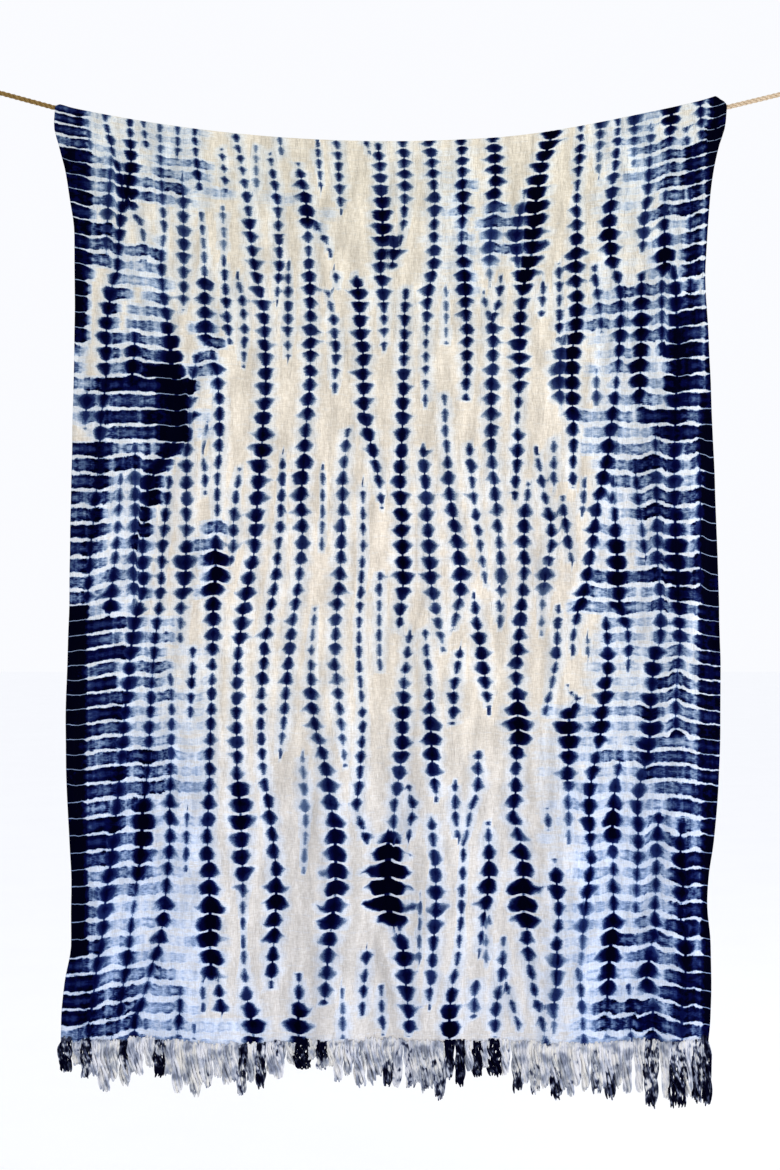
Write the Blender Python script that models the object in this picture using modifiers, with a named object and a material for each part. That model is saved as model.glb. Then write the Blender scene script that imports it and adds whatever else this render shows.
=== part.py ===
"""A shibori dyed cotton throw hung over a rope line, with a fringed lower hem.

Units are metres and +Z is up. The front of the cloth faces -Y, and +X is to its right.
The origin lies on the rope's axis at the lowest point of its sag.
"""

import math
import random

import bmesh
import bpy
import numpy as np
from mathutils import Vector

# Rope
ROPE_DIAMETER = 0.010
ROPE_SAG = 0.169  # rise in metres for each square metre of distance from the middle
ROPE_LOAD_X = 0.655  # where the cloth ends and the rope runs on straight
ROPE_LEFT_SLOPE = 0.272
ROPE_RIGHT_SLOPE = 0.243
ROPE_POINT_STEP = 0.025
KNOT_X = 0.797  # centre of each end knot, just outside the cloth's reach
KNOT_RADII = (0.014, 0.011, 0.012)
LOOP_X = 0.835  # centre of each end loop
LOOP_HALF_LENGTH = 0.034  # to the middle of the rope
LOOP_HALF_HEIGHT = 0.018
LOOP_POINTS = 20

# Cloth
CLOTH_THICKNESS = 0.0016
SEAT_GAP = 0.0005  # between the rope and the cloth that lies on it
HEM_Z = -1.754
HEM_WAVE = 0.003
FLAP_LENGTH = 0.150  # the short end that hangs behind the rope
FLAP_GAP = 0.008  # between the front and the flap's hem
COLUMNS = 37
FLAP_ROWS = 4
ARCH_ROWS = 8
FRONT_ROWS = 34

# Fringe
PARTING = 0.00035  # between the hem and the strip that carries the fringe
STRIP_HEIGHT = 0.007
STRIP_THICKNESS = 0.0026
LOCKS_PER_COLUMN = 2
LOCK_SHARE = 0.64  # of its pitch that a lock fills at its root
LOCK_STEPS = 4
LOCK_SWAY = 0.0022
FRINGE_SEED = 7

# The cloth's two side edges, from the rope's level down to the hem.
OUTLINE = [
    {"z": 0.073, "left": -0.652, "right": 0.656},
    {"z": 0.038, "left": -0.654, "right": 0.653},
    {"z": -0.007, "left": -0.644, "right": 0.640},
    {"z": -0.050, "left": -0.633, "right": 0.631},
    {"z": -0.103, "left": -0.624, "right": 0.624},
    {"z": -0.177, "left": -0.615, "right": 0.619},
    {"z": -0.253, "left": -0.614, "right": 0.616},
    {"z": -0.389, "left": -0.615, "right": 0.623},
    {"z": -0.580, "left": -0.619, "right": 0.632},
    {"z": -0.770, "left": -0.624, "right": 0.640},
    {"z": -0.896, "left": -0.626, "right": 0.644},
    {"z": -1.015, "left": -0.630, "right": 0.647},
    {"z": -1.132, "left": -0.634, "right": 0.647},
    {"z": -1.253, "left": -0.632, "right": 0.643},
    {"z": -1.358, "left": -0.626, "right": 0.634},
    {"z": -1.427, "left": -0.623, "right": 0.624},
    {"z": -1.483, "left": -0.622, "right": 0.621},
    {"z": -1.557, "left": -0.622, "right": 0.627},
    {"z": -1.637, "left": -0.635, "right": 0.629},
    {"z": -1.705, "left": -0.641, "right": 0.627},
    {"z": -1.754, "left": -0.642, "right": 0.622},
]

# The arch over the rope stands higher towards the right corner, where the cloth is bunched.
ARCH_RISE = [
    {"x": -0.660, "rise": 0.004},
    {"x": -0.600, "rise": 0.000},
    {"x": 0.200, "rise": 0.000},
    {"x": 0.490, "rise": 0.012},
    {"x": 0.620, "rise": 0.017},
    {"x": 0.660, "rise": 0.004},
]

# Soft vertical folds. forward is towards the viewer where positive, and start is the level
# at which a fold begins to show.
FOLDS = [
    {"x_top": -0.560, "x_hem": -0.585, "start": -0.10, "half_width": 0.052, "forward": 0.010},
    {"x_top": -0.470, "x_hem": -0.480, "start": -0.20, "half_width": 0.060, "forward": -0.012},
    {"x_top": -0.360, "x_hem": -0.350, "start": -0.30, "half_width": 0.070, "forward": 0.012},
    {"x_top": -0.230, "x_hem": -0.215, "start": -0.50, "half_width": 0.062, "forward": -0.011},
    {"x_top": -0.130, "x_hem": -0.100, "start": -0.80, "half_width": 0.048, "forward": 0.015},
    {"x_top": -0.030, "x_hem": -0.020, "start": -0.60, "half_width": 0.055, "forward": -0.013},
    {"x_top": 0.080, "x_hem": 0.095, "start": -0.70, "half_width": 0.058, "forward": 0.014},
    {"x_top": 0.200, "x_hem": 0.220, "start": -0.45, "half_width": 0.068, "forward": -0.012},
    {"x_top": 0.330, "x_hem": 0.345, "start": -0.25, "half_width": 0.070, "forward": 0.013},
    {"x_top": 0.450, "x_hem": 0.465, "start": -0.20, "half_width": 0.055, "forward": -0.010},
    {"x_top": 0.550, "x_hem": 0.560, "start": -0.10, "half_width": 0.050, "forward": 0.012},
]
FOLD_FADE_IN = 0.55  # a fold reaches its full depth this far below its start

# How far each side edge turns back, and over what width.
EDGE_TURN = [
    {"z": 0.100, "left": 0.000, "right": 0.000},
    {"z": -0.150, "left": 0.003, "right": 0.008},
    {"z": -0.500, "left": 0.006, "right": 0.018},
    {"z": -0.900, "left": 0.014, "right": 0.024},
    {"z": -1.300, "left": 0.020, "right": 0.024},
    {"z": -1.754, "left": 0.008, "right": 0.022},
]
EDGE_TURN_WIDTH = 0.060

# Length of the fringe below the hem.
FRINGE_LENGTH = [
    {"x": -0.64, "length": 0.060},
    {"x": -0.56, "length": 0.088},
    {"x": -0.47, "length": 0.070},
    {"x": -0.39, "length": 0.098},
    {"x": -0.29, "length": 0.094},
    {"x": -0.22, "length": 0.076},
    {"x": -0.15, "length": 0.058},
    {"x": -0.06, "length": 0.088},
    {"x": 0.08, "length": 0.098},
    {"x": 0.18, "length": 0.064},
    {"x": 0.28, "length": 0.100},
    {"x": 0.42, "length": 0.108},
    {"x": 0.52, "length": 0.120},
    {"x": 0.62, "length": 0.122},
]

# A lock's width and depth at each step down from its root, as shares of the root's.
LOCK_FORM = [
    {"width": 1.00, "depth": 2.2},
    {"width": 0.92, "depth": 2.6},
    {"width": 1.04, "depth": 2.6},
    {"width": 0.50, "depth": 1.2},
]

CREAM = (0.84, 0.79, 0.70, 1.0)
INDIGO_AND_CREAM = (0.50, 0.51, 0.58, 1.0)
JUTE = (0.62, 0.48, 0.30, 1.0)


def column(table, name):
    return [row[name] for row in table]


def level_slopes(keys, values):
    """A slope at each row that lets no cubic overshoot the rows beside it."""
    rises = [(b - a) / (d - c) for a, b, c, d in zip(values, values[1:], keys, keys[1:])]
    pairs = zip(rises, rises[1:])
    inner = [2 * a * b / (a + b) if a * b > 0 else 0.0 for a, b in pairs]
    return [rises[0], *inner, rises[-1]]


def smooth_read(table, key, name, at):
    """The table's column read at a place by a cubic through its rows, flat beyond its ends."""
    rows = sorted(table, key=lambda row: row[key])
    keys, values = column(rows, key), column(rows, name)
    if at <= keys[0]:
        return values[0]
    if at >= keys[-1]:
        return values[-1]
    i = int(np.searchsorted(keys, at, side="right")) - 1
    slopes = level_slopes(keys, values)
    step = keys[i + 1] - keys[i]
    t = (at - keys[i]) / step
    return (
        (2 * t**3 - 3 * t**2 + 1) * values[i]
        + (t**3 - 2 * t**2 + t) * step * slopes[i]
        + (3 * t**2 - 2 * t**3) * values[i + 1]
        + (t**3 - t**2) * step * slopes[i + 1]
    )


def ease(start, end, at):
    """0 before start, 1 after end, and smooth between them."""
    t = min(1.0, max(0.0, (at - start) / (end - start)))
    return t * t * (3 - 2 * t)


def rope_z(x):
    """Height of the rope's axis: a sagging stretch under the cloth, straight beyond it."""
    held = min(ROPE_LOAD_X, abs(x))
    slope = ROPE_LEFT_SLOPE if x < 0 else ROPE_RIGHT_SLOPE
    return ROPE_SAG * held**2 + slope * (abs(x) - held)


def hem_z(u):
    return HEM_Z + HEM_WAVE * math.sin(math.tau * (2.2 * u + 0.1))


def fold_forward(x, z):
    """How far the folds bring the front towards the viewer."""
    total = 0.0
    for fold in FOLDS:
        down = z / HEM_Z
        centre = fold["x_top"] + (fold["x_hem"] - fold["x_top"]) * down
        shown = ease(fold["start"], fold["start"] - FOLD_FADE_IN, z)
        total += fold["forward"] * shown * math.exp(-(((x - centre) / fold["half_width"]) ** 2))
    return total


def edge_back(x, z):
    """How far the side edges turn away from the viewer."""
    total = 0.0
    for side in ("left", "right"):
        inward = abs(x - smooth_read(OUTLINE, "z", side, z))
        turned = 1 - ease(0.0, EDGE_TURN_WIDTH, inward)
        total += smooth_read(EDGE_TURN, "z", side, z) * turned
    below_rope = rope_z(x) - z
    return total * ease(0.010, 0.100, below_rope)


def top_x(u):
    left, right = OUTLINE[0]["left"], OUTLINE[0]["right"]
    return left + (right - left) * u


def sheet_x(u, z):
    left, right = (smooth_read(OUTLINE, "z", side, z) for side in ("left", "right"))
    return left + (right - left) * u


def wrap_radius():
    """From the rope's axis to the middle of the cloth's thickness."""
    return ROPE_DIAMETER / 2 + SEAT_GAP + CLOTH_THICKNESS / 2


def front_point(u, down):
    """A point of the front, where down goes from 0 at the rope to 1 at the hem."""
    start = rope_z(top_x(u))
    z = start + (hem_z(u) - start) * down
    x = sheet_x(u, z)
    return Vector((x, -wrap_radius() - fold_forward(x, z) + edge_back(x, z), z))


def arch_point(u, angle):
    """A point of the arch over the rope, from 0 at its front to pi at its back."""
    x = top_x(u)
    radius = wrap_radius()
    height = radius + smooth_read(ARCH_RISE, "x", "rise", x)
    return Vector((x, -radius * math.cos(angle), rope_z(x) + height * math.sin(angle)))


def flap_point(u, down):
    """A point of the flap behind the rope, where down goes from 0 at the rope to 1 at its hem."""
    x = top_x(u)
    z = rope_z(x) - FLAP_LENGTH * down
    x = sheet_x(u, z)
    gap = 2 * wrap_radius() * (1 - down) + FLAP_GAP * down
    return Vector((x, gap - wrap_radius() - fold_forward(x, z) + edge_back(x, z), z))


def cloth_point(u, row):
    """A grid point of the sheet, whose rows run up the flap, over the arch and down the front."""
    if row < FLAP_ROWS:
        return flap_point(u, 1 - row / FLAP_ROWS)
    row -= FLAP_ROWS
    if row <= ARCH_ROWS:
        return arch_point(u, math.pi * (1 - row / ARCH_ROWS))
    return front_point(u, (row - ARCH_ROWS) / FRONT_ROWS)


def hem_point(share):
    """A point of the hem as the sheet's straight grid edges draw it."""
    i = min(COLUMNS - 1, int(share * COLUMNS))
    a, b = (front_point(k / COLUMNS, 1) for k in (i, i + 1))
    return a.lerp(b, share * COLUMNS - i)


def new_material(name, colour, roughness):
    material = bpy.data.materials.new(name)
    material.use_nodes = True
    shader = material.node_tree.nodes["Principled BSDF"]
    shader.inputs["Base Color"].default_value = colour
    shader.inputs["Roughness"].default_value = roughness
    shader.inputs["Metallic"].default_value = 0.0
    material.diffuse_color = colour
    return material


def new_object(name, data, collection, material=None):
    obj = bpy.data.objects.new(name, data)
    collection.objects.link(obj)
    if material:
        data.materials.append(material)
    return obj


def tube_mesh(name, points, diameter, cyclic=False):
    """A closed tube mesh along points, made from a curve with a bevel."""
    curve = bpy.data.curves.new(name, "CURVE")
    curve.dimensions = "3D"
    curve.bevel_depth = diameter / 2
    curve.bevel_resolution = 2
    curve.use_fill_caps = not cyclic
    spline = curve.splines.new("POLY")
    spline.points.add(len(points) - 1)
    for spline_point, point in zip(spline.points, points):
        spline_point.co = (*point, 1.0)
    spline.use_cyclic_u = cyclic
    carrier = bpy.data.objects.new(name, curve)
    bpy.context.scene.collection.objects.link(carrier)
    evaluated = carrier.evaluated_get(bpy.context.evaluated_depsgraph_get())
    mesh = bpy.data.meshes.new_from_object(evaluated)
    bpy.data.objects.remove(carrier)
    bpy.data.curves.remove(curve)
    bm = bmesh.new()
    bm.from_mesh(mesh)
    bmesh.ops.remove_doubles(bm, verts=bm.verts, dist=1e-6)
    bm.to_mesh(mesh)
    bm.free()
    mesh.name = name
    return mesh


def join_piece(target, piece):
    piece.hide_render = True
    piece.display_type = "WIRE"
    union = target.modifiers.new(piece.name, "BOOLEAN")
    union.operation = "UNION"
    union.solver = "EXACT"
    union.object = piece


def rope_end(rope, side, guides):
    """The knot and loop at one end; side is -1 at the left and 1 at the right."""
    name = "left" if side < 0 else "right"
    tilt = math.atan(side * (ROPE_LEFT_SLOPE if side < 0 else ROPE_RIGHT_SLOPE))
    bm = bmesh.new()
    bmesh.ops.create_uvsphere(bm, u_segments=10, v_segments=7, radius=1.0)
    bmesh.ops.scale(bm, vec=KNOT_RADII, verts=bm.verts)
    mesh = bpy.data.meshes.new(name + "_knot_form")
    bm.to_mesh(mesh)
    bm.free()
    knot = new_object(mesh.name, mesh, guides)
    knot.location = (side * KNOT_X, 0, rope_z(side * KNOT_X))
    knot.rotation_euler = (0, -tilt, 0)

    turns = [math.tau * i / LOOP_POINTS for i in range(LOOP_POINTS)]
    ring = [(LOOP_HALF_LENGTH * math.cos(a), 0, LOOP_HALF_HEIGHT * math.sin(a)) for a in turns]
    mesh = tube_mesh(name + "_loop_form", ring, ROPE_DIAMETER, cyclic=True)
    loop = new_object(mesh.name, mesh, guides)
    loop.location = (side * LOOP_X, 0, rope_z(side * LOOP_X))
    loop.rotation_euler = (0, -tilt, 0)
    for piece in (knot, loop):
        join_piece(rope, piece)


def make_rope(collection, guides, material):
    steps = math.ceil(2 * KNOT_X / ROPE_POINT_STEP)
    along = [KNOT_X * (2 * i / steps - 1) for i in range(steps + 1)]
    mesh = tube_mesh("rope", [(x, 0, rope_z(x)) for x in along], ROPE_DIAMETER)
    rope = new_object("rope", mesh, collection, material)
    mesh.shade_smooth()
    for side in (-1, 1):
        rope_end(rope, side, guides)
    return rope


def make_cloth(collection, material, parent):
    rows = FLAP_ROWS + ARCH_ROWS + FRONT_ROWS
    bm = bmesh.new()
    bmesh.ops.create_grid(bm, x_segments=COLUMNS, y_segments=rows, size=0.5)
    for vertex in bm.verts:
        u = round((vertex.co.x + 0.5) * COLUMNS) / COLUMNS
        row = round((vertex.co.y + 0.5) * rows)
        vertex.co = cloth_point(u, row)
    mesh = bpy.data.meshes.new("cloth")
    bm.to_mesh(mesh)
    bm.free()
    mesh.shade_smooth()
    cloth = new_object("cloth", mesh, collection, material)
    cloth.parent = parent
    shell = cloth.modifiers.new("thickness", "SOLIDIFY")
    shell.thickness = CLOTH_THICKNESS
    shell.offset = 0.0
    return cloth


def strip_shares():
    """Where the strip is divided: each lock's two sides, and the cloth's own columns."""
    locks = COLUMNS * LOCKS_PER_COLUMN
    shares = []
    for i in range(locks):
        shares += [i / locks, (i + LOCK_SHARE) / locks]
    return [*shares, 1.0]


def lock_faces(bm, shares):
    """The underside faces that locks grow from, as (share of the hem, face), left to right."""
    low = [f for f in bm.faces if f.normal.z < -0.9]
    low.sort(key=lambda face: face.calc_center_median().x)
    middles = [(a + b) / 2 for a, b in zip(shares, shares[1:])]
    return [(middles[i], low[i]) for i in range(0, len(low), 2)]


def grow_lock(bm, face, length, sway):
    """Extends one underside face downwards into a four-sided lock."""
    before = {"width": 1.0, "depth": 1.0}
    for form, along, back in zip(LOCK_FORM, *sway):
        made = bmesh.ops.extrude_discrete_faces(bm, faces=[face])
        face = made["faces"][0]
        centre = face.calc_center_median()
        longest = max(face.edges, key=lambda edge: edge.calc_length())
        side = longest.verts[1].co - longest.verts[0].co
        side = Vector((side.x, side.y, 0)).normalized()
        out = Vector((-side.y, side.x, 0))
        move = Vector((along, back, -length / LOCK_STEPS))
        for vertex in face.verts:
            offset = vertex.co - centre
            wide = side * offset.dot(side) * form["width"] / before["width"]
            deep = out * offset.dot(out) * form["depth"] / before["depth"]
            vertex.co = centre + wide + deep + move
        before = form


def make_fringe(collection, material, parent):
    chance = random.Random(FRINGE_SEED)
    shares = strip_shares()
    cells = len(shares) - 1
    bm = bmesh.new()
    bmesh.ops.create_grid(bm, x_segments=cells, y_segments=1, size=0.5)
    for vertex in bm.verts:
        share = shares[round((vertex.co.x + 0.5) * cells)]
        top = vertex.co.y > 0
        vertex.co = hem_point(share) - Vector((0, 0, PARTING + (0 if top else STRIP_HEIGHT)))
    bm.normal_update()
    half = {v: v.normal * STRIP_THICKNESS / 2 for v in bm.verts}
    moves = {v: Vector(h) for v, h in half.items()}
    for vertex, shift in moves.items():
        vertex.co -= shift
    thick = bmesh.ops.extrude_face_region(bm, geom=bm.faces[:], use_keep_orig=True)
    raised = [g for g in thick["geom"] if isinstance(g, bmesh.types.BMVert)]
    bm.normal_update()
    for vertex in raised:
        vertex.co += vertex.normal * STRIP_THICKNESS
    bmesh.ops.recalc_face_normals(bm, faces=bm.faces)
    bm.normal_update()
    for share, face in lock_faces(bm, shares):
        x = hem_point(share).x
        length = smooth_read(FRINGE_LENGTH, "x", "length", x) * chance.uniform(0.86, 1.08)
        sway = [[chance.uniform(-LOCK_SWAY, LOCK_SWAY) for _ in LOCK_FORM] for _ in range(2)]
        grow_lock(bm, face, length, sway)
    bmesh.ops.recalc_face_normals(bm, faces=bm.faces)
    mesh = bpy.data.meshes.new("fringe")
    bm.to_mesh(mesh)
    bm.free()
    fringe = new_object("fringe", mesh, collection, material)
    fringe.parent = parent
    return fringe


def main():
    for obj in list(bpy.data.objects):
        bpy.data.objects.remove(obj)
    parts = bpy.data.collections.new("hanging_cloth")
    guides = bpy.data.collections.new("joined_forms")
    for collection in (parts, guides):
        bpy.context.scene.collection.children.link(collection)
    rope = make_rope(parts, guides, new_material("jute", JUTE, 0.9))
    cloth = make_cloth(parts, new_material("dyed_cotton", INDIGO_AND_CREAM, 0.9), rope)
    make_fringe(parts, new_material("cotton_yarn", CREAM, 0.95), cloth)


main()
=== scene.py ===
"""Dresses the frame of a fold-dyed cotton throw that hangs over a rope line.

Lengths are in metres. The cloth's front faces -Y, +X is to its right, and the origin lies on
the rope's axis at the lowest point of its sag. The dye is laid out in photograph pixels.
"""

import math
import random
from collections import namedtuple

import bpy
import numpy as np
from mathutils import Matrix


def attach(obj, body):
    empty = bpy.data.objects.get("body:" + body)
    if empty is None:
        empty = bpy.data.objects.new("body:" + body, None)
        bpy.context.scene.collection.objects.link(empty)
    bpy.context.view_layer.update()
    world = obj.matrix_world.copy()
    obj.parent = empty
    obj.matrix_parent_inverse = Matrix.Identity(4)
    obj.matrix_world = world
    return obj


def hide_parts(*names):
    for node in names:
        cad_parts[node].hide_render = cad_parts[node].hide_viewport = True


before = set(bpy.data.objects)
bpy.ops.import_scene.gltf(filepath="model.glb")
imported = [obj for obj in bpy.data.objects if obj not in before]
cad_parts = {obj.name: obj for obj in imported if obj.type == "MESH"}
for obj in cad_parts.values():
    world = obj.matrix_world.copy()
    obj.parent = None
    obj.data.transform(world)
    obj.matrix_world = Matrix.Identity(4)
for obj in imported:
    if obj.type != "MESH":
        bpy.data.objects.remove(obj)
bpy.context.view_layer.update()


def table(names, rows):
    """Rows of numbers, with a name for each column."""
    row_kind = namedtuple("Row", names)
    return [row_kind(*row) for row in rows]


# The photograph, seen square on
PHOTO_SIZE = (780, 1170)
PX = 0.00195  # metres to a pixel at the cloth
ORIGIN_PX = (390.0, 144.8)  # the pixel of the origin
CAMERA_DISTANCE = 4.0
SENSOR = 36.0

# Rope
ROPE_DIAMETER = 0.010
ROPE_SAG = 0.169
ROPE_LOAD_X = 0.655
ROPE_LEFT_SLOPE = 0.272
ROPE_RIGHT_SLOPE = 0.243
ROPE_STEP = 0.0025
ROPE_PITCH = 0.031  # along the rope, for one turn of a strand
STRANDS = 3
STRAND_SIDES = 7
STRAND_OFFSET = 0.50  # from the rope's axis to a strand's, as a share of the rope's radius
STRAND_RADIUS = 0.49  # as a share of the rope's radius
KNOT_X = 0.797
KNOT_TURNS = 3
KNOT_STEPS = 26  # in each of its turns
KNOT_RADIUS = 0.0070
KNOT_LENGTH = 0.021
KNOT_ROPE_RADIUS = 0.0042
LOOP_X = 0.835
LOOP_HALF_LENGTH = 0.034
LOOP_HALF_HEIGHT = 0.018
LOOP_STEPS = 90

# Cloth
CLOTH_THICKNESS = 0.0016
SEAT_GAP = 0.0005
HEM_Z = -1.754
HEM_WAVE = 0.003
FLAP_LENGTH = 0.150
FLAP_GAP = 0.008
COLUMNS = 316
FLAP_ROWS = 9
ARCH_ROWS = 12
FRONT_ROWS = 126
FOLD_FADE_IN = 0.55
EDGE_TURN_WIDTH = 0.060

OUTLINE = table("z left right", [
    (0.073, -0.652, 0.656), (0.038, -0.654, 0.653), (-0.007, -0.644, 0.64), (-0.05, -0.633, 0.631),
    (-0.103, -0.624, 0.624), (-0.177, -0.615, 0.619), (-0.253, -0.614, 0.616), (-0.389, -0.615, 0.623),
    (-0.58, -0.619, 0.632), (-0.77, -0.624, 0.64), (-0.896, -0.626, 0.644), (-1.015, -0.63, 0.647),
    (-1.132, -0.634, 0.647), (-1.253, -0.632, 0.643), (-1.358, -0.626, 0.634), (-1.427, -0.623, 0.624),
    (-1.483, -0.622, 0.621), (-1.557, -0.622, 0.627), (-1.637, -0.635, 0.629), (-1.705, -0.641, 0.627),
    (-1.754, -0.642, 0.622),
])

ARCH_RISE = table("x rise", [
    (-0.66, 0), (0.2, 0), (0.49, 0.013), (0.6, 0.017), (0.638, 0.019), (0.656, 0.007),
])
CORNER_PULL = 0.009  # by which the top corners are rounded in
CORNER_WIDTH = 0.022

FOLDS = table("x_top x_hem start half_width forward", [
    (-0.56, -0.585, -0.1, 0.052, 0.01), (-0.47, -0.48, -0.2, 0.06, -0.012),
    (-0.36, -0.35, -0.3, 0.07, 0.012), (-0.23, -0.215, -0.5, 0.062, -0.011),
    (-0.13, -0.1, -0.8, 0.048, 0.015), (-0.03, -0.02, -0.6, 0.055, -0.013),
    (0.08, 0.095, -0.7, 0.058, 0.014), (0.2, 0.22, -0.45, 0.068, -0.012),
    (0.33, 0.345, -0.25, 0.07, 0.013), (0.45, 0.465, -0.2, 0.055, -0.01),
    (0.55, 0.56, -0.1, 0.05, 0.012),
])

EDGE_TURN = table("z left right", [
    (0.1, 0, 0), (-0.15, 0.003, 0.008), (-0.5, 0.006, 0.018), (-0.9, 0.014, 0.024), (-1.3, 0.02, 0.024),
    (-1.754, 0.008, 0.022),
])

# Sharp little creases: start and end in photograph pixels, half width and height in metres.
CREASES = table("x0 y0 x1 y1 half_width height", [
    (393, 620, 387, 705, 0.007, 0.0052), (466, 625, 457, 715, 0.007, 0.006),
    (440, 640, 470, 790, 0.006, 0.0048), (372, 915, 354, 1005, 0.007, 0.006),
    (371, 918, 398, 1000, 0.006, 0.0048), (320, 590, 312, 690, 0.006, 0.0044),
    (430, 590, 416, 640, 0.006, 0.0046), (262, 860, 248, 960, 0.008, -0.003),
    (225, 640, 212, 760, 0.009, -0.0028), (540, 560, 552, 660, 0.007, 0.0042),
    (486, 900, 500, 1000, 0.007, 0.0048), (203, 585, 198, 650, 0.006, 0.0044),
])

# Slight ripples all over: how many waves, their height, and how long they are across and down.
RIPPLES = 18
RIPPLE_HEIGHT = 0.0005
RIPPLE_ACROSS = (0.030, 0.120)
RIPPLE_DOWN = (0.090, 0.350)
RIPPLE_SEED = 5

# Distance between two ties, in pixels, down the middle of the cloth.
TIE_PITCH = table("y pitch", [
    (141, 9.5), (170, 11), (200, 13), (350, 13.2), (400, 15), (450, 16), (570, 16), (600, 14.8),
    (760, 14.9), (790, 17), (1045, 17),
])
TOP_Y = 140.8  # the top of the cloth, at TOP_X, and how it curves up from there
TOP_X = 375.0
TOP_CURVE = 3.8e-4
SAG_Y = 150.0  # from here down the ties follow the rope's sag less and less
LEVEL_Y = 450.0  # and from here on no longer
DROOP = (7, 8)  # by which they droop at the left and the right edge, further down
DROOP_LEFT_X = (66, 128)
DROOP_RIGHT_X = (672, 722)
DROOP_FULL_Y = 640
DROOP_MORE = 0.5  # the share by which they droop more near the hem
DROOP_MORE_Y = (880, 1000)
COUNTED_Y = (60.0, 1120.0)
FLAP_TIE_PITCH = 0.027

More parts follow.
